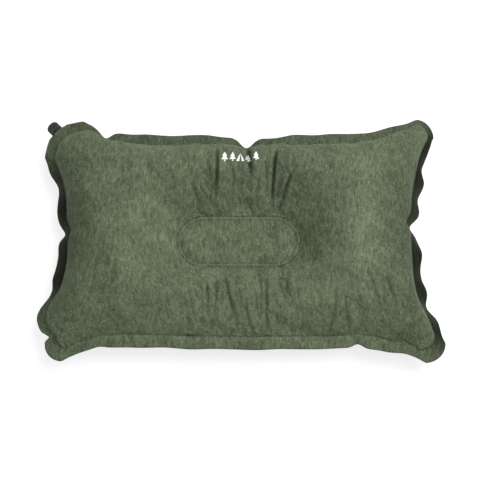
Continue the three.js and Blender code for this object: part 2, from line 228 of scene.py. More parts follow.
class Skin(IntEnum):
    """The two fabric skins, by the way they swell."""

    UPPER = 1
    LOWER = -1


class LongEdge(IntEnum):
    """The two long edges, by their place along Y."""

    BACK = 1
    FRONT = -1


@dataclass(frozen=True)
class Gather:
    """A place where the inflated edge is pulled in.

    Attributes:
        at: place from the middle of the side's straight part, counter-clockwise.
        depth: how far the edge is pulled in there, or pushed out if it is negative.
        spread: half width of the notch.
    """

    at: float
    depth: float
    spread: float


@dataclass(frozen=True)
class SideShape:
    """How one side runs between its corners.

    Attributes:
        bow: how far most of the side is pulled in.
        flare: how suddenly the side flares out to its corners, as a power.
        belly: how much the middle fills out again.
        ripple: height of the scallops along the welded edge.
        waves: number of scallops.
        phase: where the scallops start, in turns.
        gathers: the notches.
    """

    bow: float
    flare: float
    belly: float
    ripple: float
    waves: float
    phase: float
    gathers: tuple[Gather, ...]

    def pull(self, share: np.ndarray, half: float, rippled: bool, spared: float) -> np.ndarray:
        """How far the edge is pulled in.

        Args:
            share: places along the side, from -1 to 1.
            half: half the side's length.
            rippled: whether the scallops are counted.
            spared: the most by which a notch may be shallower here.

        Returns:
            One depth for each place.
        """
        depth = self.bow * (1 - np.abs(share) ** self.flare) - self.belly * (1 - share**2) ** 2
        # Notches and scallops fade out just before the corners.
        notched = 1 - np.abs(share) ** 24
        scalloped = 1 - np.abs(share) ** 8
        for gather in self.gathers:
            notch = gather.depth - min(max(0.6 * gather.depth, 0), spared)
            depth += notched * notch * bell(share * half - gather.at, gather.spread)
        if rippled:
            wave = np.sin(math.tau * (self.waves * (share + 1) / 2 + self.phase))
            uneven = np.sin(math.tau * (self.waves * 0.8 * share + 0.3))
            depth += self.ripple * scalloped * (wave + 0.3 * uneven)
        return depth


@dataclass
class PlanShape:
    """The pillow in plan: its welded edge, its seam and its island.

    Attributes:
        spokes: number of lines from the island to the edge, a multiple of 4.
        flange: width of the welded edge in plan along the long sides.
        end_flange: its width in plan at the ends, where it hangs steeply.
        island_length: length of the welded island.
        island_width: its width.
        island_at: the island's middle.
        corner_radii: radii of the four corners, counter-clockwise from the back right one.
        corner_facets: number of straight pieces that each corner is made of.
        corner_shifts: how far each corner stands off the frame's corner.
        seam_shifts: how much further in the seam runs at each corner.
        sides: shapes of the four sides: back, left, front and right.
        length: length of the frame's box.
        width: width of the frame's box.
        arc_points: number of points on each corner.
        side_points: number of points on each side between its corners.
    """

    spokes: int = 800
    flange: float = 15.5 * MM
    end_flange: float = 9.6 * MM
    island_length: float = 146 * MM
    island_width: float = 64 * MM
    island_at: tuple[float, float] = (-1.5 * MM, -4.5 * MM)
    corner_radii: tuple[float, ...] = (21 * MM, 45 * MM, 20 * MM, 24 * MM)
    corner_facets: tuple[int, ...] = (40, 3, 40, 40)
    corner_shifts: tuple[tuple[float, float], ...] = ((0, 3 * MM), (0, 0), (12 * MM, 2 * MM), (0, 0))
    seam_shifts: tuple[tuple[float, float], ...] = ((0, 0), (4 * MM, 0), (4 * MM, 0), (-4 * MM, 0))
    sides: tuple[SideShape, ...] = (
        SideShape(20.5 * MM, 6, 1 * MM, 0.7 * MM, 7, 0.1, (
            Gather(4 * MM, 16 * MM, 11 * MM),
            Gather(175 * MM, 10 * MM, 9 * MM),
            Gather(-28 * MM, 4.5 * MM, 20 * MM),
            Gather(24 * MM, 2.5 * MM, 18 * MM),
            Gather(-172 * MM, -2.5 * MM, 18 * MM),
        )),
        SideShape(15 * MM, 2.4, 1 * MM, 1.5 * MM, 5.4, 0.35, (
            Gather(-18.5 * MM, 11 * MM, 10 * MM),
            Gather(-72 * MM, 5.5 * MM, 26 * MM),
            Gather(43 * MM, -3.5 * MM, 22 * MM),
            Gather(84 * MM, -17.5 * MM, 25 * MM),
            Gather(109.5 * MM, 10 * MM, 4.5 * MM),
        )),
        SideShape(18.9 * MM, 8, 4 * MM, 0.5 * MM, 6, 0.6, (
            Gather(131 * MM, 5.5 * MM, 7 * MM),
            Gather(168 * MM, -3 * MM, 13 * MM),
            Gather(-165 * MM, 2 * MM, 8 * MM),
        )),
        SideShape(23.5 * MM, 3.2, 1 * MM, 2.2 * MM, 5.84, 0.296, (
            Gather(14 * MM, 13 * MM, 10 * MM),
            Gather(76 * MM, -2.5 * MM, 26 * MM),
            Gather(-12 * MM, 1.8 * MM, 11 * MM),
            Gather(-104 * MM, -3 * MM, 17 * MM),
        )),
    )
    length: float = float(CAD_HIGH[0] - CAD_LOW[0])
    width: float = float(CAD_HIGH[1] - CAD_LOW[1])
    arc_points: int = 121
    side_points: int = 600

    def dense(self, inset: tuple[float, float], rippled: bool) -> np.ndarray:
        """A closed line round the pillow, with many points.

        Args:
            inset: how far inside the outer edge it runs, at the ends and along the long sides.
            rippled: whether it has the edge's scallops.

        Returns:
            The points, counter-clockwise.
        """
        half = np.array([self.length, self.width]) / 2 - np.array(inset)
        signs = np.array([(1, 1), (-1, 1), (-1, -1), (1, -1)])
        inward = np.array([(0, -1), (1, 0), (0, 1), (-1, 0)])
        arcs = []
        for quarter, sign in enumerate(signs):
            # A line further in turns its corners more tightly.
            radius = max(self.corner_radii[quarter] - 0.3 * sum(inset), 8 * MM)
            facets = self.corner_facets[quarter]
            angle = (quarter + np.linspace(0, 1, facets + 1)) * math.pi / 2
            middle = sign * (half - radius) + np.array(self.corner_shifts[quarter])
            if not rippled:
                middle = middle + np.array(self.seam_shifts[quarter])
            knots = middle + radius * np.stack([np.cos(angle), np.sin(angle)], 1)
            place = np.linspace(0, facets, self.arc_points)
            arcs.append(np.stack([np.interp(place, np.arange(facets + 1), knots[:, k]) for k in (0, 1)], 1))
        line = []
        for quarter, shape in enumerate(self.sides):
            start, end = arcs[quarter][-1], arcs[(quarter + 1) % 4][0]
            share = np.linspace(-1, 1, self.side_points + 2)[1:-1]
            spared = 0.0 if rippled else max(inset[(quarter + 1) % 2] - 3 * MM, 0)
            pull = shape.pull(share, np.linalg.norm(end - start) / 2, rippled, spared)
            run = start + (end - start) * (share[:, None] + 1) / 2 + inward[quarter] * pull[:, None]
            line += [arcs[quarter], run]
        loop = smooth_loop(np.concatenate(line), 5)
        # The valve's corner is cut off square to the valve.
        axis = np.array(VALVE.axis[:2])
        ahead = (loop - np.array(VALVE.at[:2])) @ axis + min(inset)
        return loop - np.maximum(ahead, 0)[:, None] * axis

    def island(self, inset: float = 0.0) -> np.ndarray:
        """The island's outline, one point for each spoke.

        Args:
            inset: how far inside the island's edge the line runs.

        Returns:
            The points, counter-clockwise from the middle of the right end.
        """
        radius = self.island_width / 2 - inset
        spine = (self.island_length - self.island_width) / 2
        quarter = np.arange(self.spokes // 4) / (self.spokes // 4)
        arc = radius * math.pi / 2
        run = quarter * (arc + spine)
        angle = np.minimum(run, arc) / radius
        x = spine + radius * np.cos(angle) - np.maximum(run - arc, 0)
        y = radius * np.sin(angle)
        first = np.stack([x, y], 1)
        # The second quarter mirrors the first, end to start, and the lower half repeats the upper one turned round.
        last = np.stack([-x, y], 1)[::-1]
        ends = np.array([[0.0, radius]])
        upper = np.concatenate([first, ends, last[:-1]])
        return np.concatenate([upper, -upper]) + self.island_at

    def matched(self) -> tuple[np.ndarray, np.ndarray]:
        """The seam and the outer edge, one pair of points for each spoke.

        Returns:
            The seam's points and the edge's points.
        """
        edge = self.dense((0.0, 0.0), True)
        seam = self.dense((self.end_flange, self.flange), False)
        angle = np.arctan2(edge[:, 1], edge[:, 0])
        start = int(np.argmin(np.abs(angle)))
        edge, seam = (np.roll(line, -start, axis=0) for line in (edge, seam))
        edge, seam = (np.vstack([line, line[:1]]) for line in (edge, seam))
        turn = np.unwrap(np.arctan2(edge[:, 1], edge[:, 0]))
        turn -= turn[0]
        marks = [int(np.argmin(np.abs(turn - q * math.pi / 2))) for q in range(5)]
        picked = []
        for a, b in zip(marks[:-1], marks[1:]):
            steps = np.linalg.norm(np.diff(edge[a : b + 1], axis=0), axis=1)
            run = np.concatenate([[0.0], np.cumsum(steps)])
            count = self.spokes // 4
            picked.append(np.interp(np.arange(count) / count * run[-1], run, np.arange(a, b + 1)))
        place = np.concatenate(picked)
        rows = np.arange(len(edge))
        seam, edge = (np.stack([np.interp(place, rows, line[:, k]) for k in (0, 1)], 1) for line in (seam, edge))
        return seam, edge


# ---------------------------------------------------------------- creases


@dataclass(frozen=True)
class Crease:
    """A fold in the fabric, from one plan point to another.

    Attributes:
        start: plan point where it is deepest.
        end: plan point where it runs out.
        depth: how deep it is at its start.
        width: half width of the fold.
        lip: height of the raised edges beside it, as a share of the depth.
        bend: how far its middle lies to the side.
    """

    start: tuple[float, float]
    end: tuple[float, float]
    depth: float
    width: float
    lip: float = 0.45
    bend: float = 0.0

    def lift(self, plan: np.ndarray) -> np.ndarray:
        """How far the fold moves the fabric along its normal.

        Args:
            plan: points, with x and y in the last axis.

        Returns:
            One distance for each point, negative in the fold.
        """
        a, b = np.array(self.start), np.array(self.end)
        run = b - a
        size = np.linalg.norm(run)
        way = run / size
        off = plan - a
        along = off @ way / size
        aside = off @ np.array([-way[1], way[0]]) - self.bend * 4 * along * (1 - along)
        fade = smoothstep(-0.12, 0.1, along) * (1 - smoothstep(0.5, 1.12, along))
        share = aside / self.width
        return self.depth * fade * (-np.exp(-(share**2)) + self.lip * np.exp(-((np.abs(share) - 1.9) ** 2)))

    def painted_crease_shade(self, plan: np.ndarray) -> np.ndarray:
        """How much painted shade the fold puts into the fabric's colour, from 0 to about a half, at each point."""
        return np.clip(-self.lift(plan) / (4.2 * MM), 0, 0.55)


# ---------------------------------------------------------------- the inflated form


# Painted light and shade on the nap: plan middle and half widths in millimetres, then how much lighter it looks.
# Lighter marks are painted highlights on slopes that face the key lamp, darker ones painted shade on slopes and
# margins that face away.
PAINTED_LIGHT_MARKS = (
    (140, -5, 17, 75, 0.17),
    (-95, 5, 26, 40, 0.12),
    (-30, -55, 40, 22, 0.09),
    (86, 5, 20, 34, -0.17),
    (-196, -5, 30, 95, -0.26),
    (-150, -75, 22, 34, -0.07),
    (196, 0, 26, 110, -0.26),
    (60, 70, 34, 22, -0.08),
    (0, -116, 240, 15, 0.08),
    (0, -136, 240, 9, -0.05),
    (170, 95, 30, 22, 0.08),
)

# Waves of the hanging edge: size, number round the pillow and start.
EDGE_WAVES = ((0.7, 31, 0.5), (0.25, 43, 2.1), (0.4, 19, 4.0))


@dataclass
class PillowForm:
    """The inflated pillow's two skins as rings of points, from the island out to the welded edge.

    Attributes:
        plan: the pillow in plan.
        weld: height of the welds above the ground.
        rise: height of the upper side over the weld, halfway between the island and a long edge.
        drop: depth of the lower side under the weld, before the ground presses it flat.
        inner: number of rings on the island.
        crown: number of rings between the island and the seam.
        outer: number of rings on the welded edge.
        sweeps: rounds of the pressure film's solution.
        film: the film's height halfway between the island and a long edge, for a unit pressure.
        fabric: thickness of a panel.
        grow: how much longer the loose fabric is than its frame, which makes it pucker.
        cap: how far the puckers may move the fabric.
        liveliness: share of the puckers that is kept.
        hollow_reach: how far the hollow round the island spreads.
        front_reach: how far the soft slope over the front seam spreads.
        back_reach: how far the one over the back seam spreads.
        turn_reach: how far the soft turn at the resting flat's edge spreads.
        hump: height that the valve's seat gives each panel.
        hump_width: half width of that hump.
        edge_fall: how far the outer edge hangs along the long sides.
        end_fall: how much further it hangs at the ends.
    """

    plan: PlanShape
    weld: float = 40 * MM
    rise: float = 38 * MM
    drop: float = 47 * MM
    inner: int = 16
    crown: int = 80
    outer: int = 8
    sweeps: int = 1400
    film: float = 0.925e-3
    fabric: float = 0.8 * MM
    grow: float = 0.045
    cap: float = 7 * MM
    liveliness: float = 0.8
    hollow_reach: float = 76 * MM
    front_reach: float = 20 * MM
    back_reach: float = 9 * MM
    turn_reach: float = 11 * MM
    hump: float = 5.9 * MM
    hump_width: float = 19 * MM
    edge_fall: float = 1.5 * MM
    end_fall: float = 11 * MM

    def __post_init__(self) -> None:
        """Lays out the plan points, the pressure film and the distances that the skins are shaped by."""
        self.seam, self.edge = self.plan.matched()
        rim = self.plan.island()
        shares = np.sin(np.linspace(0.04, 1, self.inner, endpoint=False) * math.pi / 2)
        rings = [self.plan.island(self.plan.island_width / 2 * (1 - share)) for share in shares]
        for share in (1 - np.cos(np.linspace(0, math.pi, self.crown + 1))) / 2:
            rings.append(rim + (self.seam - rim) * share)
        for share in np.linspace(0, 1, self.outer + 1)[1:]:
            rings.append(self.seam + (self.edge - self.seam) * share)
        self.points = np.array(rings)
        self.first = self.inner
        self.last = self.inner + self.crown
        self.loose = slice(self.first, self.last + 1)
        # Rounding the film from spoke to spoke takes out the ridges where the spokes fan out at the corners.
        film = self.membrane(self.points[self.loose]).T
        for _ in range(3):
            film = smooth_loop(film, 13)
        self.fullness = film.T / self.film
        self.island_gap = self.from_island(self.points)
        self.front_gap, self.back_gap = self.from_seam(LongEdge.FRONT), self.from_seam(LongEdge.BACK)
        self.valve_gap = np.linalg.norm(self.edge - VALVE.at[:2], axis=1)
        along = np.roll(self.edge, -1, axis=0) - np.roll(self.edge, 1, axis=0)
        along /= np.linalg.norm(along, axis=1)[:, None]
        # From 0 where the edge runs along a long side to 1 where it runs across an end.
        self.endwise = smooth_loop((along[:, 1:] ** 2), 14)[:, 0]

    @property
    def ground(self) -> float:
        """Lowest height of the lower skin's inner face."""
        return self.fabric + 0.05 * MM

    def from_island(self, points: np.ndarray) -> np.ndarray:
        """Distance from the island's edge, negative on the island.

        Args:
            points: points, with x and y in the last axis.

        Returns:
            One distance for each point.
        """
        radius = self.plan.island_width / 2
        spine = (self.plan.island_length - self.plan.island_width) / 2
        x = np.maximum(np.abs(points[..., 0] - self.plan.island_at[0]) - spine, 0)
        return np.hypot(x, points[..., 1] - self.plan.island_at[1]) - radius

    def from_seam(self, side: LongEdge) -> np.ndarray:
        """Distance of every point from one long seam.

        Args:
            side: the seam's side.

        Returns:
            One distance for each ring and spoke.
        """
        gap = np.full(self.points.shape[:2], np.inf)
        for start, end in zip(self.seam, np.roll(self.seam, -1, axis=0)):
            if start[1] * side > 104 * MM and abs(start[0]) < 200 * MM:
                run, off = end - start, self.points - start
                share = np.clip(off @ run / (run @ run), 0, 1)[..., None]
                gap = np.minimum(gap, np.linalg.norm(off - share * run, axis=2))
        return gap

    def membrane(self, points: np.ndarray) -> np.ndarray:
        """Height of a soap film that an even pressure lifts, held at the first and the last ring.

        Every spoke is solved exactly from end to end with its neighbours held, over and over.

        Args:
            points: rings of plan points.

        Returns:
            The film's height, in square metres for a unit pressure.
        """
        out = np.linalg.norm(np.diff(points, axis=0), axis=2)
        round_ = np.linalg.norm(np.roll(points, -1, axis=1) - points, axis=2)
        wide = (round_ + np.roll(round_, 1, axis=1)) / 2
        deep = np.zeros(points.shape[:2])
        deep[:-1] += out / 2
        deep[1:] += out / 2
        across = (wide[:-1] + wide[1:]) / 2 / out
        along = (deep / round_)[1:-1]
        before = np.roll(along, 1, axis=1)
        load = (wide * deep)[1:-1]
        total = across[:-1] + across[1:] + along + before
        film = np.zeros(points.shape[:2])
        count = points.shape[0] - 2
        ratio = np.zeros((count, points.shape[1]))
        pivot = np.zeros_like(ratio)
        for r in range(count):
            lead = across[r] * ratio[r - 1] if r else 0
            pivot[r] = total[r] - lead
            ratio[r] = across[r + 1] / pivot[r]
        for _ in range(self.sweeps):
            flow = load + along * np.roll(film, -1, axis=1)[1:-1]
            flow += before * np.roll(film, 1, axis=1)[1:-1]
            flow[0] /= pivot[0]
            for r in range(1, count):
                flow[r] = (flow[r] + across[r] * flow[r - 1]) / pivot[r]
            film[-2] = flow[-1]
            for r in range(count - 2, -1, -1):
                film[r + 1] = flow[r] + ratio[r] * film[r + 2]
        return film

    def valve_hump(self) -> np.ndarray:
        """Height of the hump that the valve's seat makes in each panel, fading out inside the pillow.

        Returns:
            One height for each ring and spoke.
        """
        way = np.array(VALVE.axis)
        off = self.points - VALVE.at[:2]
        ahead = off @ way[:2]
        aside = np.abs(off @ np.array([-way[1], way[0]]))
        bump = np.cos(np.pi / 2 * np.minimum(aside / self.hump_width, 1)) ** 2
        return self.hump * bump * smoothstep(-56 * MM, -15 * MM, ahead)

    def near_corners(self) -> np.ndarray:
        """How far each spoke lies in one of the two front corners, from 0 to 1."""
        out = smoothstep(165 * MM, 208 * MM, np.abs(self.edge[:, 0]))
        return out * smoothstep(78 * MM, 118 * MM, -self.edge[:, 1])

    def hang(self) -> np.ndarray:
        """How far the outer edge hangs below the weld: not at the valve, and less in the front corners.

        Returns:
            One depth for each spoke.
        """
        turn = np.arange(self.plan.spokes) / self.plan.spokes * math.tau
        wave = sum(size * np.sin(turn * count + start) for size, count, start in EDGE_WAVES)
        fall = self.edge_fall + self.end_fall * self.endwise + wave * (0.6 + 1.5 * self.endwise) * MM
        fall *= 1 - 0.65 * self.near_corners()
        return fall * smoothstep(18 * MM, 46 * MM, self.valve_gap)

    def weld_marks_and_painted_shade(self) -> np.ndarray:
        """How dark the nap is painted along the welded edge, the seam and the island.

        Painted shade: the hanging edge at the ends, which faces sideways into shade, is darkened most, and the back
        edge beside the bulge less; a painted shadow line runs along the seam, weaker at the front. Two dark lines run
        along the island's weld, and the whole welded edge is a little darker.

        Returns:
            From 0 to 1, for each ring and spoke.
        """
        x, y = self.edge[:, 0], self.edge[:, 1]
        lobe = smoothstep(60 * MM, 104 * MM, -y) * smoothstep(150 * MM, 190 * MM, -x)
        ends = self.endwise**1.5 * smoothstep(24 * MM, 60 * MM, self.valve_gap) * (1 - 0.62 * lobe)
        back = smoothstep(60 * MM, 120 * MM, y)
        front = smoothstep(60 * MM, 120 * MM, -y)
        flat = np.zeros(self.points.shape[:2])
        # Painted shade on the hanging ends and the back edge, over a slight darkening of the whole welded edge.
        flat[self.last :] = np.minimum(0.06 + 0.2 * back + 0.95 * ends, 1)
        corner = self.near_corners() * smoothstep(104 * MM, 128 * MM, -y)
        from_seam = np.linalg.norm(self.points - self.seam[None], axis=2)
        # A painted shadow line along the seam, then two dark lines along the island's weld.
        lines = (
            bell(from_seam, 1.2 * MM) * (0.8 - 0.42 * front) * (1 - 0.85 * corner),
            0.5 * bell(self.island_gap + 0.4 * MM, 0.9 * MM),
            0.35 * bell(self.island_gap + 5 * MM, 0.8 * MM),
        )
        return np.maximum.reduce([flat, *lines])

    def painted_light_and_nap_tone(self) -> np.ndarray:
        """How much lighter or darker the nap is painted: painted highlights and shade where slopes face towards or
        away from the lamp, with a faint random unevenness of tone.

        Returns:
            A tone about 0, for each ring and spoke.
        """
        x, y = self.points[..., 0] / MM, self.points[..., 1] / MM
        tone = np.zeros(x.shape)
        for at_x, at_y, wide_x, wide_y, tint in PAINTED_LIGHT_MARKS:
            tone += tint * np.exp(-(((x - at_x) / wide_x) ** 2) - ((y - at_y) / wide_y) ** 2)
        wisps = Ripple(31, 60 * MM, 16 * MM, 24, 0.5).at(self.points)
        return tone + 0.022 * wisps

    def bulge(self) -> np.ndarray:
        """Height of the loose fabric over the weld, about 1 halfway to a long edge.

        Returns:
            One height for each loose ring and spoke.
        """
        full = self.fullness
        height = np.sqrt(np.maximum(full * 2.1 / (full + 1.1), 0))
        slack = 1 - (1 - np.clip(self.island_gap[self.loose] / self.hollow_reach, 0, 1)) ** 2
        height *= slack**1.15
        height *= (1 - np.exp(-self.front_gap[self.loose] / self.front_reach)) ** 0.8
        height *= 1 - 0.45 * (1 - (1 - np.exp(-self.back_gap[self.loose] / self.back_reach)) ** 0.8)
        x, y = self.points[self.loose, :, 0], self.points[self.loose, :, 1]
        corner = smoothstep(165 * MM, 228 * MM, np.abs(x)) * smoothstep(80 * MM, 136 * MM, -y)
        return height * (1 - 0.4 * corner)

    def skin(self, side: Skin) -> np.ndarray:
        """Points of one skin's inner face, before it puckers.

        Args:
            side: the skin.

        Returns:
            Rings of points.
        """
        level = np.zeros(self.points.shape[:2])
        level[self.loose] = self.bulge() * (self.rise if side is Skin.UPPER else self.drop)
        level = np.hypot(level, self.valve_hump())
        share = np.zeros(self.points.shape[0])
        share[self.last :] = np.linspace(0, 1, self.outer + 1)
        fall = self.hang()[None, :] * (share**1.25)[:, None]
        z = self.weld - fall + side * (level + TOUCH)
        if side is Skin.LOWER:
            z = self.press(z)
        return np.concatenate([self.points, z[..., None]], axis=2)

    def press(self, z: np.ndarray) -> np.ndarray:
        """Presses the lower skin flat on the ground, with a soft turn at the flat's edge.

        Args:
            z: heights of the skin's inner face.

        Returns:
            The heights after that.
        """
        soft = self.turn_reach
        over = z - self.ground
        turn = (over + soft) ** 2 / (4 * soft)
        return self.ground + np.where(over > soft, over, np.where(over < -soft, 0, turn))


# ---------------------------------------------------------------- meshes


def select_only(piece: bpy.types.Object) -> None:
    """Makes one object the only selected and the active one.

    Args:
        piece: the object.
    """
    bpy.ops.object.select_all(action="DESELECT")
    piece.select_set(True)
    bpy.context.view_layer.objects.active = piece


def apply_all(piece: bpy.types.Object) -> None:
    """Applies every modifier of a piece, first to last.

    Args:
        piece: the object.
    """
    select_only(piece)
    for modifier in list(piece.modifiers):
        bpy.ops.object.modifier_apply(modifier=modifier.name)


def made(name: str, points: np.ndarray, faces: list[tuple[int, ...]]) -> bpy.types.Object:
    """A new object from points and faces.

    Args:
        name: the piece's name.
        points: one row for each vertex.
        faces: vertex numbers of each face.

    Returns:
        The object.
    """
    mesh = bpy.data.meshes.new(name)
    mesh.from_pydata(points.tolist(), [], faces)
    mesh.validate()
    piece = bpy.data.objects.new(name, mesh)
    bpy.context.collection.objects.link(piece)
    return piece


def ring_faces(rings: int, spokes: int, closed_middle: bool) -> list[tuple[int, ...]]:
    """Faces of a skin that runs outwards in rings, facing up.

    Args:
        rings: number of rings.
        spokes: number of points on each ring.
        closed_middle: whether the first ring is closed by a strip along its length.

    Returns:
        Vertex numbers of each face.
    """
    faces = []
    for r in range(rings - 1):
        for i in range(spokes):
            j = (i + 1) % spokes
            a, b = r * spokes, (r + 1) * spokes
            faces.append((a + i, b + i, b + j, a + j))
    if closed_middle:
        half = spokes // 2
        faces.append((0, 1, spokes - 1))
        faces += [(k, k + 1, spokes - k - 1, spokes - k) for k in range(1, half - 1)]
        faces.append((half - 1, half, half + 1))
    return faces


def skin_normals(points: np.ndarray) -> np.ndarray:
    """Unit normals of a skin in rings, facing up.

    Args:
        points: rings of points.

    Returns:
        One normal for each point.
    """
    out = np.gradient(points, axis=0)
    round_ = np.roll(points, -1, axis=1) - np.roll(points, 1, axis=1)
    normal = np.cross(out, round_)
    size = np.linalg.norm(normal, axis=2, keepdims=True)
    normal = normal / np.maximum(size, 1e-12)
    flat = size[..., 0] < 1e-12
    normal[flat] = (0, 0, 1)
    return normal


# ---------------------------------------------------------------- panels


# Settings of the fabric while the pressure puckers it.
CLOTH: dict[str, float | bool | str] = {
    "quality": 6,
    "mass": 0.25,
    "tension_stiffness": 25,
    "compression_stiffness": 25,
    "shear_stiffness": 8,
    "bending_stiffness": 0.25,
    "tension_damping": 8,
    "compression_damping": 8,
    "shear_damping": 8,
    "air_damping": 4,
    "use_pressure": True,
    "uniform_pressure_force": 4,
    "vertex_group_mass": "held",
    "pin_stiffness": 50,
}


@dataclass
class FabricPanel:
    """One of the two welded fabric panels.

    Attributes:
        name: the piece's name.
        node: the frame node that it stands for.
        form: the inflated pillow.
        side: which skin it is.
        creases: folds in the fabric.
        weld_band: width of the pressed line round the island.
        puff: how far the island's middle stands over its weld.
        groove: depth of the island's weld lines.
        frames: steps of the cloth simulation.
        thinning: of how many rings and spokes one is kept in the mesh.
    """

    name: str
    node: str
    form: PillowForm
    side: Skin
    creases: tuple[Crease, ...] = ()
    weld_band: float = 5 * MM
    puff: float = 2.2 * MM
    groove: float = 0.45 * MM
    frames: int = 20
    thinning: int = 1

    def build(self) -> bpy.types.Object:
        """Makes the panel.

        Returns:
            The finished piece.
        """
        points = self.form.skin(self.side)
        points = points + self.puckers(points)
        points = points + self.details(points)
        if self.side is Skin.LOWER:
            points[..., 2] = np.maximum(points[..., 2], self.form.ground)
        self.points = points
        # Both masks paint light and shade into the fabric's colour: painted shade on the welded edge, along the seam
        # and in the folds, and painted highlights and shade where slopes face towards or away from the key lamp.
        weld_marks_and_painted_shade = self.form.weld_marks_and_painted_shade()
        for crease in self.creases:
            weld_marks_and_painted_shade = np.maximum(weld_marks_and_painted_shade, crease.painted_crease_shade(points[..., :2]))
        step = self.thinning
        points, weld_marks_and_painted_shade, painted_light_and_nap_tone = (grid[::step, ::step] for grid in (points, weld_marks_and_painted_shade, self.form.painted_light_and_nap_tone()))
        piece = made(self.name, points.reshape(-1, 3), self.faces(points, True))
        for name, values in (("weld_marks_and_painted_shade", weld_marks_and_painted_shade), ("painted_light_and_nap_tone", painted_light_and_nap_tone)):
            layer = piece.data.attributes.new(name, "FLOAT", "POINT")
            layer.data.foreach_set("value", values.ravel().astype(np.float32))
        wall = piece.modifiers.new("wall", "SOLIDIFY")
        wall.thickness = self.form.fabric
        wall.offset = 1
        apply_all(piece)
        select_only(piece)
        bpy.ops.object.shade_smooth()
        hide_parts(self.node)
        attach(piece, "pillow")
        return piece

    def faces(self, points: np.ndarray, closed_middle: bool) -> list[tuple[int, ...]]:
        """Faces of a grid of this panel's points, facing out of the pillow."""
        faces = ring_faces(points.shape[0], points.shape[1], closed_middle)
        return faces if self.side is Skin.UPPER else [face[::-1] for face in faces]

    def puckers(self, points: np.ndarray) -> np.ndarray:
        """How pressure and the fabric's spare length move the skin between its welds.

        Args:
            points: rings of points.

        Returns:
            One move for each point.
        """
        form = self.form
        coarse = points[form.loose][::2, ::2]
        swollen = self.swell(coarse)
        move = swollen - coarse
        size = np.linalg.norm(move, axis=2, keepdims=True)
        LOG.info("%s puckers by up to %.1f mm", self.name, float(size.max()) / MM)
        move *= form.cap * np.tanh(size / form.cap) / np.maximum(size, 1e-9)
        # Towards the ends only the broad, gentle part of the puckers stays.
        calm = smoothstep(46 * MM, 92 * MM, np.abs(coarse[..., 0]))[..., None]
        broad = np.swapaxes(move, 0, 1)
        for _ in range(4):
            broad = smooth_loop(broad, 5)
        move = form.liveliness * (move * (1 - calm) + 0.6 * np.swapaxes(broad, 0, 1) * calm)
        fine = np.swapaxes(doubled(np.swapaxes(doubled(move, False), 0, 1), True), 0, 1)
        fine[[0, -1]] = 0
        result = np.zeros_like(points)
        result[form.loose] = fine
        return result

    def swell(self, coarse: np.ndarray) -> np.ndarray:
        """Blows the loose fabric up with a cloth simulation, held at both welds.

        Args:
            coarse: rings of points, from the island's weld to the seam.

        Returns:
            The same rings after the simulation.
        """
        rings, spokes = coarse.shape[:2]
        piece = made(f"{self.name}_loose", coarse.reshape(-1, 3), self.faces(coarse, False))
        held = piece.vertex_groups.new(name="held")
        held.add(list(range(spokes)) + list(range((rings - 1) * spokes, rings * spokes)), 1.0, "REPLACE")
        cloth = piece.modifiers.new("cloth", "CLOTH")
        for setting, value in CLOTH.items():
            setattr(cloth.settings, setting, value)
        cloth.settings.shrink_min = -self.form.grow
        cloth.settings.effector_weights.gravity = 0
        cloth.collision_settings.use_collision = False
        cloth.collision_settings.use_self_collision = False
        cloth.point_cache.frame_start = 1
        cloth.point_cache.frame_end = self.frames
        for step in range(1, self.frames + 1):
            bpy.context.scene.frame_set(step)
        apply_all(piece)
        swollen = np.empty(coarse.size)
        piece.data.vertices.foreach_get("co", swollen)
        bpy.data.objects.remove(piece, do_unlink=True)
        bpy.context.scene.frame_set(1)
        return swollen.reshape(coarse.shape)

    def details(self, points: np.ndarray) -> np.ndarray:
        """Creases, the pressed welds and the fabric's unevenness.

        Args:
            points: rings of points.

        Returns:
            One move for each point.
        """
        form = self.form
        gap = form.island_gap
        plan = points[..., :2]
        lift = np.zeros(points.shape[:2])
        for crease in self.creases:
            lift += crease.lift(plan)
        waves = Ripple(5 + self.side, 46 * MM, 12 * MM, 26, 0.55).at(plan) * 0.42 * MM
        lift += waves * smoothstep(0, 16 * MM, gap)
        lift += Ripple(9 + self.side, 14 * MM, 5 * MM, 30, 0.7).at(plan) * 0.12 * MM
        inset = np.linalg.norm(form.seam[None] - plan, axis=2)
        fade = np.full(points.shape[:2], 0.35)
        fade[form.loose] = smoothstep(0, 6 * MM, inset)[form.loose]
        lift *= fade
        band = self.weld_band
        lift[: form.first] += (smoothstep(band, band + 9 * MM, -gap) * self.puff)[: form.first]
        lift -= self.groove * (bell(gap + 0.6 * MM, 0.7 * MM) + bell(gap + band, 0.8 * MM))
        return skin_normals(points) * self.side * lift[..., None]


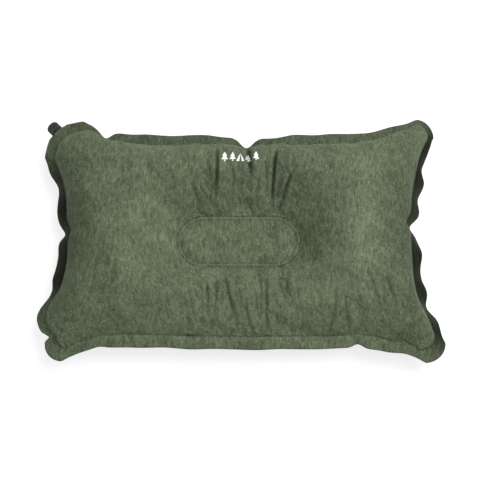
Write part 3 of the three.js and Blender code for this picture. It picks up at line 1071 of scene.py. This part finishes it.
@dataclass
class FoamCore:
    """The open-cell foam between the panels, cut square at its edges.

    Attributes:
        form: the inflated pillow.
        clear: gap between the foam and the fabric.
        setback: how far its cut edges stay from the welds.
        rows: number of steps from the island to the seam.
        thinning: of how many spokes one is kept.
    """

    form: PillowForm
    clear: float = 4.5 * MM
    setback: float = 15 * MM
    rows: int = 14
    thinning: int = 4

    def build(self, upper: FabricPanel, lower: FabricPanel) -> bpy.types.Object:
        """Makes the foam.

        Args:
            upper: the finished upper panel.
            lower: the finished lower panel.

        Returns:
            The finished piece.
        """
        top, bottom = upper.points[self.form.loose], lower.points[self.form.loose]
        reach = np.linalg.norm(top[-1, :, :2] - top[0, :, :2], axis=1)
        margin = self.setback / reach
        shares = [margin + (1 - 2 * margin) * step / self.rows for step in range(self.rows + 1)]
        rings = [self.sample(top, share) - (0, 0, self.clear) for share in shares]
        rings += [self.sample(bottom, share) + (0, 0, self.clear) for share in reversed(shares)]
        body = np.array(rings)[:, :: self.thinning]
        count, spokes = body.shape[:2]
        faces = []
        for r in range(count):
            a, b = r * spokes, ((r + 1) % count) * spokes
            faces += [(a + i, b + i, b + (i + 1) % spokes, a + (i + 1) % spokes) for i in range(spokes)]
        piece = made("foam_slab", body.reshape(-1, 3), faces)
        select_only(piece)
        bpy.ops.object.shade_smooth_by_angle(angle=math.radians(40))
        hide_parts("foam_core")
        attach(piece, "pillow")
        return piece

    @staticmethod
    def sample(skin: np.ndarray, share: np.ndarray) -> np.ndarray:
        """Points of a skin at a share of the way from the island to the seam.

        Args:
            skin: rings of points.
            share: one share for each spoke.

        Returns:
            One point for each spoke.
        """
        count = skin.shape[0] - 1
        way = (1 - np.cos(np.linspace(0, math.pi, count + 1))) / 2
        place = np.interp(share, way, np.arange(count + 1))
        low = np.clip(place.astype(int), 0, count - 1)
        part = (place - low)[:, None]
        spoke = np.arange(skin.shape[1])
        return skin[low, spoke] * (1 - part) + skin[low + 1, spoke] * part


# ---------------------------------------------------------------- finishes


Colour = tuple[float, float, float]


class Bench:
    """Builds the nodes of one material."""

    def __init__(self, name: str) -> None:
        """Starts an empty material with its output and shader."""
        self.material = bpy.data.materials.new(name)
        self.material.use_nodes = True
        self.tree = self.material.node_tree
        self.tree.nodes.clear()
        self.shader = self.add("ShaderNodeBsdfPrincipled")
        output = self.add("ShaderNodeOutputMaterial")
        self.join(self.shader.outputs["BSDF"], output.inputs["Surface"])
        self.place = self.add("ShaderNodeTexCoord").outputs["Object"]

    def add(self, kind: str, **settings: object) -> bpy.types.Node:
        """A new node.

        Args:
            kind: its type.
            settings: its properties.

        Returns:
            The node.
        """
        node = self.tree.nodes.new(kind)
        for key, value in settings.items():
            setattr(node, key, value)
        return node

    def join(self, source: bpy.types.NodeSocket, target: bpy.types.NodeSocket) -> None:
        """Links two sockets."""
        self.tree.links.new(source, target)

    def stretch(self, scale: tuple[float, float, float], turn: float = 0.0) -> bpy.types.NodeSocket:
        """Object coordinates, scaled along each axis and turned.

        Args:
            scale: factor along each axis.
            turn: angle about Z.

        Returns:
            The coordinates' socket.
        """
        node = self.add("ShaderNodeMapping")
        node.inputs["Scale"].default_value = scale
        node.inputs["Rotation"].default_value = (0, 0, turn)
        self.join(self.place, node.inputs["Vector"])
        return node.outputs["Vector"]

    def noise(self, where: bpy.types.NodeSocket, scale: float, detail: float = 2.0, rough: float = 0.5,
              twist: float = 0.0) -> bpy.types.NodeSocket:
        """A cloudy pattern from 0 to 1.

        Args:
            where: coordinates.
            scale: cells to the metre.
            detail: number of finer layers.
            rough: strength of the finer layers.
            twist: distortion.

        Returns:
            The pattern's socket.
        """
        node = self.add("ShaderNodeTexNoise")
        node.inputs["Scale"].default_value = scale
        node.inputs["Detail"].default_value = detail
        node.inputs["Roughness"].default_value = rough
        node.inputs["Distortion"].default_value = twist
        self.join(where, node.inputs["Vector"])
        return node.outputs["Fac"]

    def sum(self, *parts: tuple[bpy.types.NodeSocket, float], start: float = 0.0) -> bpy.types.NodeSocket:
        """Adds patterns up.

        Args:
            parts: patterns, each with its weight.
            start: what they are added to.

        Returns:
            The sum's socket.
        """
        total = None
        for socket, weight in parts:
            node = self.add("ShaderNodeMath", operation="MULTIPLY_ADD")
            self.join(socket, node.inputs[0])
            node.inputs[1].default_value = weight
            if total is None:
                node.inputs[2].default_value = start
            else:
                self.join(total, node.inputs[2])
            total = node.outputs[0]
        return total

    def ramp(self, factor: bpy.types.NodeSocket, *stops: tuple[float, Colour]) -> bpy.types.NodeSocket:
        """A colour for each value of a pattern.

        Args:
            factor: the pattern.
            stops: places from 0 to 1, each with its colour.

        Returns:
            The colour's socket.
        """
        node = self.add("ShaderNodeValToRGB")
        band = node.color_ramp
        while len(band.elements) < len(stops):
            band.elements.new(0.5)
        for element, (at, colour) in zip(band.elements, stops):
            element.position = at
            element.color = (*colour, 1)
        self.join(factor, node.inputs["Fac"])
        return node.outputs["Color"]

    def bump(self, height: bpy.types.NodeSocket, depth: float, strength: float = 1.0,
             under: bpy.types.NodeSocket | None = None) -> bpy.types.NodeSocket:
        """A relief.

        Args:
            height: pattern of its height.
            depth: its depth in metres.
            strength: its strength.
            under: another relief that it lies on.

        Returns:
            The relief's socket.
        """
        node = self.add("ShaderNodeBump")
        node.inputs["Distance"].default_value = depth
        node.inputs["Strength"].default_value = strength
        self.join(height, node.inputs["Height"])
        if under is not None:
            self.join(under, node.inputs["Normal"])
        return node.outputs["Normal"]

    def set(self, **values: object) -> None:
        """Sets the shader's own sockets, with _ for a space in their names."""
        for key, value in values.items():
            self.shader.inputs[key.replace("_", " ")].default_value = value


@dataclass(frozen=True)
class BrushedNap:
    """Brushed suede-like fabric with a nap that lies in patches.

    Attributes:
        name: the material's name.
        dark: colour where the nap lies towards the eye.
        mid: colour of the plain nap.
        light: colour where the nap catches the light.
        sheen: strength of the nap's glow at its edges.
        grain: depth of the fine relief.
    """

    name: str
    dark: Colour
    mid: Colour
    light: Colour
    sheen: float = 0.3
    grain: float = 0.25 * MM

    def material(self) -> bpy.types.Material:
        """Builds the material.

        Returns:
            The material.
        """
        bench = Bench(self.name)
        patches = bench.noise(bench.place, 34, 3, 0.45, 0.8)
        streaks = bench.noise(bench.stretch((1.0, 0.3, 0.5), 0.14), 470, 4, 0.75, 0.9)
        grain = bench.noise(bench.place, 680, 3, 0.65)
        crinkle = bench.add("ShaderNodeTexNoise", noise_type="RIDGED_MULTIFRACTAL")
        crinkle.inputs["Scale"].default_value = 175
        crinkle.inputs["Detail"].default_value = 3
        crinkle.inputs["Offset"].default_value = 0.9
        bench.join(bench.stretch((1.0, 0.42, 0.8), -0.1), crinkle.inputs["Vector"])
        lines = crinkle.outputs["Fac"]
        # The two attributes carry painted light and shade from the panel.
        painted_light_and_nap_tone, weld_marks_and_painted_shade = (
            bench.add("ShaderNodeAttribute", attribute_name=name).outputs["Fac"] for name in ("painted_light_and_nap_tone", "weld_marks_and_painted_shade")
        )
        blend = bench.sum((patches, 0.3), (streaks, 1.6), (grain, 1.3), start=-1.275)
        # The painted highlights and shade lighten and darken the nap's colour here.
        factor = bench.sum((blend, 1.0), (lines, 0.2), (painted_light_and_nap_tone, 1.0))
        colour = bench.ramp(factor, (0.12, self.dark), (0.5, self.mid), (0.88, self.light))
        # Painted shade: where the mask is high the colour goes towards near black, on the welded edge, the seam line,
        # the island's weld lines and the folds.
        mix = bench.add("ShaderNodeMix", data_type="RGBA")
        bench.join(weld_marks_and_painted_shade, mix.inputs["Factor"])
        bench.join(colour, mix.inputs["A"])
        mix.inputs["B"].default_value = (*(0.08 * v for v in self.dark), 1)
        bench.join(mix.outputs["Result"], bench.shader.inputs["Base Color"])
        rough = bench.sum((streaks, 0.16), start=0.8)
        bench.join(rough, bench.shader.inputs["Roughness"])
        soft = bench.bump(lines, 0.6 * MM, 0.6)
        pile = bench.bump(grain, self.grain, 0.8, bench.bump(streaks, 0.7 * MM, 0.8, soft))
        bench.join(pile, bench.shader.inputs["Normal"])
        bench.set(Sheen_Weight=self.sheen, Sheen_Roughness=0.45, Sheen_Tint=(*self.light, 1), Specular_IOR_Level=0.12)
        return bench.material


@dataclass(frozen=True)
class CoatedWeave:
    """Plain close weave with a thin coating.

    Attributes:
        name: the material's name.
        dark: colour of the gaps between threads.
        light: colour of the threads.
        thread: width of a thread.
    """

    name: str
    dark: Colour
    light: Colour
    thread: float = 0.45 * MM

    def material(self) -> bpy.types.Material:
        """Builds the material.

        Returns:
            The material.
        """
        bench = Bench(self.name)
        waves = []
        for axis in ("X", "Y"):
            wave = bench.add("ShaderNodeTexWave", bands_direction=axis)
            wave.inputs["Scale"].default_value = math.pi / (10 * self.thread)
            wave.inputs["Distortion"].default_value = 0.5
            wave.inputs["Detail Scale"].default_value = 1.5
            bench.join(bench.place, wave.inputs["Vector"])
            waves.append(wave.outputs["Fac"])
        patches = bench.noise(bench.place, 16, 4, 0.6, 0.3)
        weave = bench.sum((waves[0], 0.5), (waves[1], 0.5))
        factor = bench.sum((weave, 0.45), (patches, 0.7), start=-0.08)
        bench.join(bench.ramp(factor, (0.2, self.dark), (0.8, self.light)), bench.shader.inputs["Base Color"])
        bench.join(bench.sum((patches, 0.2), start=0.5), bench.shader.inputs["Roughness"])
        bench.join(bench.bump(weave, 0.12 * MM, 0.7), bench.shader.inputs["Normal"])
        bench.set(Specular_IOR_Level=0.3, Sheen_Weight=0.1)
        return bench.material


@dataclass(frozen=True)
class MouldedPlastic:
    """Moulded plastic or rubber with a fine spark-eroded grain and worn edges.

    Attributes:
        name: the material's name.
        base: main colour.
        worn: colour where it is rubbed.
        rough: roughness.
        grain: depth of the moulded grain.
    """

    name: str
    base: Colour
    worn: Colour
    rough: float = 0.45
    grain: float = 0.04 * MM

    def material(self) -> bpy.types.Material:
        """Builds the material.

        Returns:
            The material.
        """
        bench = Bench(self.name)
        speckle = bench.noise(bench.place, 2600, 2, 0.6)
        rub = bench.noise(bench.place, 220, 4, 0.7, 0.4)
        factor = bench.sum((rub, 0.8), (speckle, 0.4), start=-0.1)
        bench.join(bench.ramp(factor, (0.42, self.base), (0.95, self.worn)), bench.shader.inputs["Base Color"])
        bench.join(bench.sum((rub, 0.22), (speckle, 0.12), start=self.rough - 0.17), bench.shader.inputs["Roughness"])
        bench.join(bench.bump(speckle, self.grain, 0.8), bench.shader.inputs["Normal"])
        bench.set(Specular_IOR_Level=0.45)
        return bench.material


@dataclass(frozen=True)
class OpenFoam:
    """Open-cell foam.

    Attributes:
        name: the material's name.
        cell: colour inside the cells.
        wall: colour of the cell walls.
    """

    name: str
    cell: Colour
    wall: Colour

    def material(self) -> bpy.types.Material:
        """Builds the material.

        Returns:
            The material.
        """
        bench = Bench(self.name)
        cells = bench.add("ShaderNodeTexVoronoi")
        cells.inputs["Scale"].default_value = 700
        bench.join(bench.place, cells.inputs["Vector"])
        colour = bench.ramp(cells.outputs["Distance"], (0.1, self.cell), (0.6, self.wall))
        bench.join(colour, bench.shader.inputs["Base Color"])
        bench.join(bench.bump(cells.outputs["Distance"], 0.5 * MM), bench.shader.inputs["Normal"])
        bench.set(Roughness=0.95)
        return bench.material


def dress(piece: bpy.types.Object, material: bpy.types.Material) -> None:
    """Gives every material slot of a piece one material.

    Args:
        piece: the object.
        material: the material.
    """
    if not piece.data.materials:
        piece.data.materials.append(material)
    for place in range(len(piece.data.materials)):
        piece.data.materials[place] = material


# ---------------------------------------------------------------- valve


@dataclass
class TwistCap:
    """The black cap: a fluted barrel with a rounded end, a blow-in mouth and an open skirt.

    Attributes:
        line: the valve's axis.
        ribs: number of flutes.
        flute: depth of a flute.
        wall: wall of the skirt.
        skirt: depth of the skirt, as a share of the cap's length.
        dome: height of the domed end.
        dome_rings: number of rings that make the dome.
        brow: radius of the flat top of the dome.
        mouth: radius of the mouth.
        mouth_depth: depth of the mouth.
    """

    line: ValveLine
    ribs: int = 34
    flute: float = 0.38 * MM
    wall: float = 2.0 * MM
    skirt: float = 0.72
    dome: float = 4.4 * MM
    dome_rings: int = 7
    brow: float = 3.0 * MM
    mouth: float = 2.1 * MM
    mouth_depth: float = 2.4 * MM

    def build(self) -> bpy.types.Object:
        """Makes the cap along +Z, from its open end to its domed one, then sets it on the valve.

        Returns:
            The finished piece.
        """
        start, end, radius = self.line.span("valve_cap")
        bpy.ops.object.select_all(action="DESELECT")
        tall = end - start - self.dome
        bpy.ops.mesh.primitive_cylinder_add(
            vertices=4 * self.ribs, radius=radius, depth=tall, location=(0, 0, start + tall / 2)
        )
        piece = bpy.context.object
        piece.name = piece.data.name = "twist_cap_barrel"
        bpy.ops.object.transform_apply(location=True)
        self.flutes(piece, radius)
        self.round_end(piece, radius)
        self.hollow(piece, start, end)
        soft = piece.modifiers.new("soft_edges", "BEVEL")
        soft.width = 0.16 * MM
        soft.segments = 2
        soft.limit_method = "ANGLE"
        soft.angle_limit = math.radians(32)
        apply_all(piece)
        select_only(piece)
        bpy.ops.object.shade_smooth_by_angle(angle=math.radians(38))
        piece.data.transform(self.line.matrix())
        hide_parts("valve_cap")
        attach(piece, "twist_cap")
        return piece

    def pick(self, piece: bpy.types.Object, kind: str, test: Callable[..., bool]) -> None:
        """Selects the vertices or faces that pass a test, and enters edit mode.

        Args:
            piece: the object.
            kind: VERT or FACE.
            test: function of the vertex or face.
        """
        select_only(piece)
        bpy.ops.object.mode_set(mode="EDIT")
        bpy.ops.mesh.select_mode(type=kind)
        bpy.ops.mesh.select_all(action="DESELECT")
        bpy.ops.object.mode_set(mode="OBJECT")
        for item in {"VERT": piece.data.vertices, "FACE": piece.data.polygons}[kind]:
            item.select = bool(test(item))
        bpy.ops.object.mode_set(mode="EDIT")

    def flutes(self, piece: bpy.types.Object, radius: float) -> None:
        """Pulls every second pair of upright edges in, which leaves ribs.

        Args:
            piece: the cap.
            radius: its radius.
        """

        def furrow(vertex: bpy.types.MeshVertex) -> bool:
            """Whether a vertex lies in a flute."""
            angle = math.atan2(vertex.co.y, vertex.co.x) / math.tau * 4 * self.ribs
            return round(angle) % 4 in (1, 2)

        self.pick(piece, "VERT", furrow)
        share = (radius - self.flute) / radius
        bpy.ops.transform.resize(value=(share, share, 1), center_override=(0, 0, 0))
        bpy.ops.object.mode_set(mode="OBJECT")

    def round_end(self, piece: bpy.types.Object, radius: float) -> None:
        """Raises the outer end into a dome, ring by ring.

        Args:
            piece: the cap.
            radius: its radius.
        """
        self.pick(piece, "FACE", lambda face: face.normal.z > 0.9)
        wide, tall = radius, 0.0
        for step in range(1, self.dome_rings + 1):
            angle = step / self.dome_rings * math.pi / 2
            rise = self.dome * math.sin(angle)
            reach = self.brow + (radius - self.brow) * math.cos(angle)
            bpy.ops.mesh.extrude_region_move(TRANSFORM_OT_translate={"value": (0, 0, rise - tall)})
            bpy.ops.transform.resize(value=(reach / wide, reach / wide, 1), center_override=(0, 0, 0))
            wide, tall = reach, rise
        bpy.ops.object.mode_set(mode="OBJECT")

    def hollow(self, piece: bpy.types.Object, start: float, end: float) -> None:
        """Opens the skirt from below and the mouth from above.

        Args:
            piece: the cap.
            start: height of its open end.
            end: height of its domed end.
        """
        self.pick(piece, "FACE", lambda face: face.normal.z < -0.9)
        bpy.ops.mesh.inset(thickness=self.wall)
        deep = (end - start) * self.skirt
        bpy.ops.mesh.extrude_region_move(TRANSFORM_OT_translate={"value": (0, 0, deep)})
        bpy.ops.object.mode_set(mode="OBJECT")
        self.pick(piece, "FACE", lambda face: face.normal.z > 0.9 and face.center.z > end - 0.1 * MM)
        bpy.ops.mesh.inset(thickness=self.brow - self.mouth)
        bpy.ops.mesh.extrude_region_move(TRANSFORM_OT_translate={"value": (0, 0, -self.mouth_depth)})
        bpy.ops.object.mode_set(mode="OBJECT")


# ---------------------------------------------------------------- printed mark


class Sign(Enum):
    """The small camping signs of the printed row."""

    TREE = "tree"
    TENT = "tent"


@dataclass
class PrintedRow:
    """A row of small plain camping signs, printed in white near the back edge.

    Attributes:
        middle: plan point of the row's middle.
        width: width of the row.
        height: height of a sign.
        signs: the signs, left to right.
        above: height over the pillow from which the row is laid down.
    """

    middle: tuple[float, float] = (0.5 * MM, 90.5 * MM)
    width: float = 46 * MM
    height: float = 13 * MM
    signs: tuple[Sign, ...] = (Sign.TREE, Sign.TREE, Sign.TENT, Sign.TREE, Sign.TREE)
    above: float = 20 * MM

    def build(self, ground: bpy.types.Object) -> bpy.types.Object:
        """Makes the row and lays it on the fabric.

        Args:
            ground: the panel it is printed on.

        Returns:
            The finished piece.
        """
        pitch = self.width / len(self.signs)
        bits = []
        for place, sign in enumerate(self.signs):
            x = self.middle[0] + (place - (len(self.signs) - 1) / 2) * pitch
            bits += self.triangles(sign, x, self.middle[1] - self.height / 2, pitch)
        select_only(bits[0])
        for bit in bits:
            bit.select_set(True)
        bpy.ops.object.join()
        piece = bpy.context.object
        piece.name = piece.data.name = "printed_signs"
        wrap = piece.modifiers.new("lay", "SHRINKWRAP")
        wrap.target = ground
        wrap.wrap_method = "PROJECT"
        wrap.use_project_z = True
        wrap.use_positive_direction = False
        wrap.use_negative_direction = True
        wrap.offset = 0.12 * MM
        wall = piece.modifiers.new("ink", "SOLIDIFY")
        wall.thickness = 0.1 * MM
        wall.offset = 1
        apply_all(piece)
        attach(piece, "pillow")
        return piece

    def triangles(self, sign: Sign, x: float, y: float, pitch: float) -> list[bpy.types.Object]:
        """The triangles of one sign, above the pillow.

        Args:
            sign: the sign.
            x: its middle.
            y: its foot.
            pitch: distance between signs.

        Returns:
            One object for each triangle.
        """
        half, tall = pitch * 0.42, self.height
        if sign is Sign.TREE:
            shapes = [
                ((x - half, y + 0.18 * tall), (x + half, y + 0.18 * tall), (x, y + 0.72 * tall)),
                ((x - 0.72 * half, y + 0.52 * tall), (x + 0.72 * half, y + 0.52 * tall), (x, y + tall)),
                ((x - 0.2 * half, y), (x + 0.2 * half, y), (x, y + 0.5 * tall)),
            ]
        else:
            wide = pitch * 0.5
            shapes = [
                ((x - wide, y), (x - 0.32 * wide, y), (x, y + tall)),
                ((x + 0.32 * wide, y), (x + wide, y), (x, y + tall)),
            ]
        return [self.triangle(shape) for shape in shapes]

    def triangle(self, corners: tuple[tuple[float, float], ...]) -> bpy.types.Object:
        """One flat triangle, finely divided, level and above the pillow.

        Args:
            corners: its plan points.

        Returns:
            The triangle.
        """
        size = 10 * MM
        bpy.ops.object.select_all(action="DESELECT")
        bpy.ops.mesh.primitive_circle_add(vertices=3, radius=size, fill_type="TRIFAN", location=(0, 0, 0))
        bit = bpy.context.object
        bpy.ops.object.mode_set(mode="EDIT")
        bpy.ops.mesh.select_all(action="SELECT")
        bpy.ops.mesh.subdivide(number_cuts=7)
        bpy.ops.object.mode_set(mode="OBJECT")
        # The change that carries the even triangle's corners to the wanted ones carries every point between them.
        turns = [math.tau * k / 3 for k in range(3)]
        source = Matrix(([size * math.sin(t) for t in turns], [size * math.cos(t) for t in turns], (1, 1, 1)))
        target = Matrix(([c[0] for c in corners], [c[1] for c in corners], (1, 1, 1)))
        change = target @ source.inverted()
        for vertex in bit.data.vertices:
            put = change @ Vector((vertex.co.x, vertex.co.y, 1))
            vertex.co = (put.x, put.y, float(CAD_HIGH[2]) + self.above)
        bpy.ops.object.mode_set(mode="EDIT")
        bpy.ops.mesh.select_all(action="SELECT")
        bpy.ops.mesh.normals_make_consistent(inside=False)
        bpy.ops.object.mode_set(mode="OBJECT")
        if bit.data.polygons[0].normal.z < 0:
            bit.data.flip_normals()
        return bit


# ---------------------------------------------------------------- stage


@dataclass(frozen=True)
class Lamp:
    """A square soft light that faces the pillow.

    Attributes:
        name: its name.
        at: its place.
        size: length of its side.
        power: its power in watts.
    """

    name: str
    at: tuple[float, float, float]
    size: float
    power: float


@dataclass
class Studio:
    """A pale floor, soft lights and the camera.

    Attributes:
        elevation: camera's height above the horizon, in degrees.
        distance: camera's distance from the pillow.
        lens: focal length in millimetres.
        sensor: width of the camera's sensor in millimetres.
        aim: point that the camera and the lamps look at.
        floor_tone: how pale the floor is.
        floor_glow: light that the floor gives off, which keeps the shadow faint.
        air: strength of the even light from all round.
        lamps: the soft lights.
    """

    elevation: float = 70.0
    distance: float = 1.6
    lens: float = 102.2
    sensor: float = 36
    aim: tuple[float, float, float] = (0.0, -0.0025, 0.04)
    floor_tone: float = 0.4
    floor_glow: float = 0.72
    air: float = 0.5
    lamps: tuple[Lamp, ...] = (
        Lamp("key", (0.66, 0.3, 1.5), 1.3, 27.0),
        Lamp("fill", (-0.2, -0.5, 1.6), 1.2, 2.0),
    )

    def build(self) -> None:
        """Sets up the floor, the lights and the camera."""
        self.floor()
        world = bpy.data.worlds.new("studio_air")
        world.use_nodes = True
        world.node_tree.nodes["Background"].inputs["Color"].default_value = (1, 1, 1, 1)
        world.node_tree.nodes["Background"].inputs["Strength"].default_value = self.air
        bpy.context.scene.world = world
        bpy.context.scene.view_settings.view_transform = "Standard"
        for lamp in self.lamps:
            light = bpy.data.lights.new(lamp.name, "AREA")
            light.size = lamp.size
            light.energy = lamp.power
            self.stand(lamp.name, light, Vector(lamp.at))
        rise = math.radians(self.elevation)
        camera = bpy.data.cameras.new("view")
        camera.lens = self.lens
        camera.sensor_width = self.sensor
        away = Vector((0, -math.cos(rise), math.sin(rise))) * self.distance
        bpy.context.scene.camera = self.stand("view", camera, Vector(self.aim) + away)

    def floor(self) -> None:
        """Lays the floor just under the pillow."""
        bpy.ops.object.select_all(action="DESELECT")
        bpy.ops.mesh.primitive_grid_add(x_subdivisions=2, y_subdivisions=2, size=8, location=(0, 0, -0.3 * MM))
        floor = bpy.context.object
        floor.name = "studio_floor"
        bench = Bench("pale_floor")
        bench.set(Base_Color=(*[self.floor_tone] * 3, 1), Roughness=0.95, Specular_IOR_Level=0.0)
        bench.set(Emission_Color=(1, 1, 1, 1), Emission_Strength=self.floor_glow)
        dress(floor, bench.material)

    def stand(self, name: str, data: bpy.types.ID, at: Vector) -> bpy.types.Object:
        """Puts a lamp or a camera in its place, turned to the pillow.

        Args:
            name: its name.
            data: the lamp's or the camera's data.
            at: its place.

        Returns:
            The new object.
        """
        holder = bpy.data.objects.new(name, data)
        holder.location = at
        holder.rotation_euler = (Vector(self.aim) - at).to_track_quat("-Z", "Y").to_euler()
        bpy.context.collection.objects.link(holder)
        return holder


# ---------------------------------------------------------------- assembly


# Folds of the upper fabric in millimetres: plan start and end, depth, half width and bend.
UPPER_FOLDS = (
    (9, 106, 12, 64, 4.5, 3.0, 1.0),
    (-27, 99, -31, 36, 3.8, 2.2, 1.4),
    (-31, 60, -37, 36, 2.2, 2.0, 0.0),
    (43, 97, 38, 34, 3.8, 2.3, -1.5),
    (59, 68, 46, 34, 2.8, 2.2, 0.0),
    (30, 84, 32, 52, 1.4, 2.0, 0.0),
    (-8, 74, -9, 36, 1.2, 2.2, 0.8),
    (22, 66, 20, 34, 1.3, 2.0, -0.8),
    (-58, 62, -47, 34, 1.2, 2.4, 0.0),
    (-38, -62, -36, -104, 1.5, 1.9, 0.0),
    (-28, -58, -29, -104, 1.6, 1.9, 0.8),
    (-17, -54, -2, -116, 2.0, 2.2, -1.5),
    (-6, -58, 4, -90, 1.2, 1.8, 0.0),
    (6, -92, 15, -122, 1.5, 2.0, 0.0),
    (22, -50, 24, -96, 1.5, 1.9, 1.0),
    (31, -56, 31, -116, 2.0, 2.2, -1.0),
    (-58, -70, -52, -104, 1.2, 2.0, 0.0),
    (56, -44, 52, -86, 1.3, 2.0, 0.0),
    (110, -80, 100, -122, 1.5, 2.0, 1.0),
    (120, -76, 126, -124, 1.6, 2.0, -1.5),
    (132, -60, 138, -106, 1.3, 1.9, 0.0),
    (146, -56, 160, -104, 1.4, 2.0, 1.5),
    (166, -60, 178, -96, 1.5, 2.2, 0.0),
    (41, 24, 42, -26, 1.6, 1.9, 0.0),
    (36, 16, 35, -22, 0.9, 1.6, 0.0),
    (12, 22, 14, -18, 0.6, 1.8, 0.0),
    (-140, -30, -148, -84, 0.9, 2.6, 0.0),
    (-158, -10, -160, -50, 0.8, 2.4, 0.0),
    (137, -138, 128, -112, 2.2, 2.6, 0.0),
    (160, -134, 172, -124, 1.8, 2.0, 0.0),
    (-152, -134, -150, -118, 1.2, 2.4, 0.0),
)


def upper_creases() -> tuple[Crease, ...]:
    """The folds of the upper fabric, in metres and with firm lips."""
    rows = (tuple(value * MM for value in row) for row in UPPER_FOLDS)
    return tuple(Crease((x0, y0), (x1, y1), depth, width, 0.55, bend) for x0, y0, x1, y1, depth, width, bend in rows)


def main() -> None:
    """Builds the pillow, piece by piece, and its stage."""
    logging.basicConfig(level=logging.INFO, format="%(message)s")
    form = PillowForm(PlanShape())
    nap = BrushedNap("olive_nap", (0.05, 0.063, 0.037), (0.1, 0.124, 0.074), (0.172, 0.208, 0.132))
    weave = CoatedWeave("olive_coated_weave", (0.045, 0.056, 0.036), (0.095, 0.112, 0.07))
    foam = OpenFoam("cream_foam", (0.42, 0.38, 0.24), (0.72, 0.67, 0.46))
    ink = MouldedPlastic("white_ink", (0.8, 0.8, 0.8), (0.62, 0.63, 0.6), 0.7, 0.01 * MM)
    charcoal = MouldedPlastic("charcoal_plastic", (0.018, 0.019, 0.021), (0.05, 0.051, 0.054), 0.42)
    upper = FabricPanel("upper_panel", "top_panel", form, Skin.UPPER, upper_creases())
    lower = FabricPanel("lower_panel", "bottom_panel", form, Skin.LOWER, thinning=2)
    upper_piece = upper.build()
    pieces = (
        (upper_piece, nap),
        (lower.build(), weave),
        (FoamCore(form).build(upper, lower), foam),
        (PrintedRow().build(upper_piece), ink),
        (TwistCap(VALVE).build(), charcoal),
    )
    for piece, finish in pieces:
        dress(piece, finish.material())
        LOG.info("%s: %d faces", piece.name, len(piece.data.polygons))
    stem = MouldedPlastic("black_plastic", (0.012, 0.012, 0.013), (0.03, 0.03, 0.032), 0.4).material()
    rubber = MouldedPlastic("black_rubber", (0.008, 0.008, 0.008), (0.02, 0.02, 0.02), 0.7).material()
    seat = MouldedPlastic("soft_seat", (0.03, 0.036, 0.026), (0.06, 0.07, 0.05), 0.55).material()
    carried = {
        "valve_stem": stem,
        "valve_plug": stem,
        "stem_o_ring": rubber,
        "cap_gasket": rubber,
        "valve_seat": seat,
    }
    for node, material in carried.items():
        dress(frame["nodes"][node], material)
        LOG.info("%s: from the frame, %s", node, material.name)
    Studio().build()


if __name__ == "__main__":
    main()
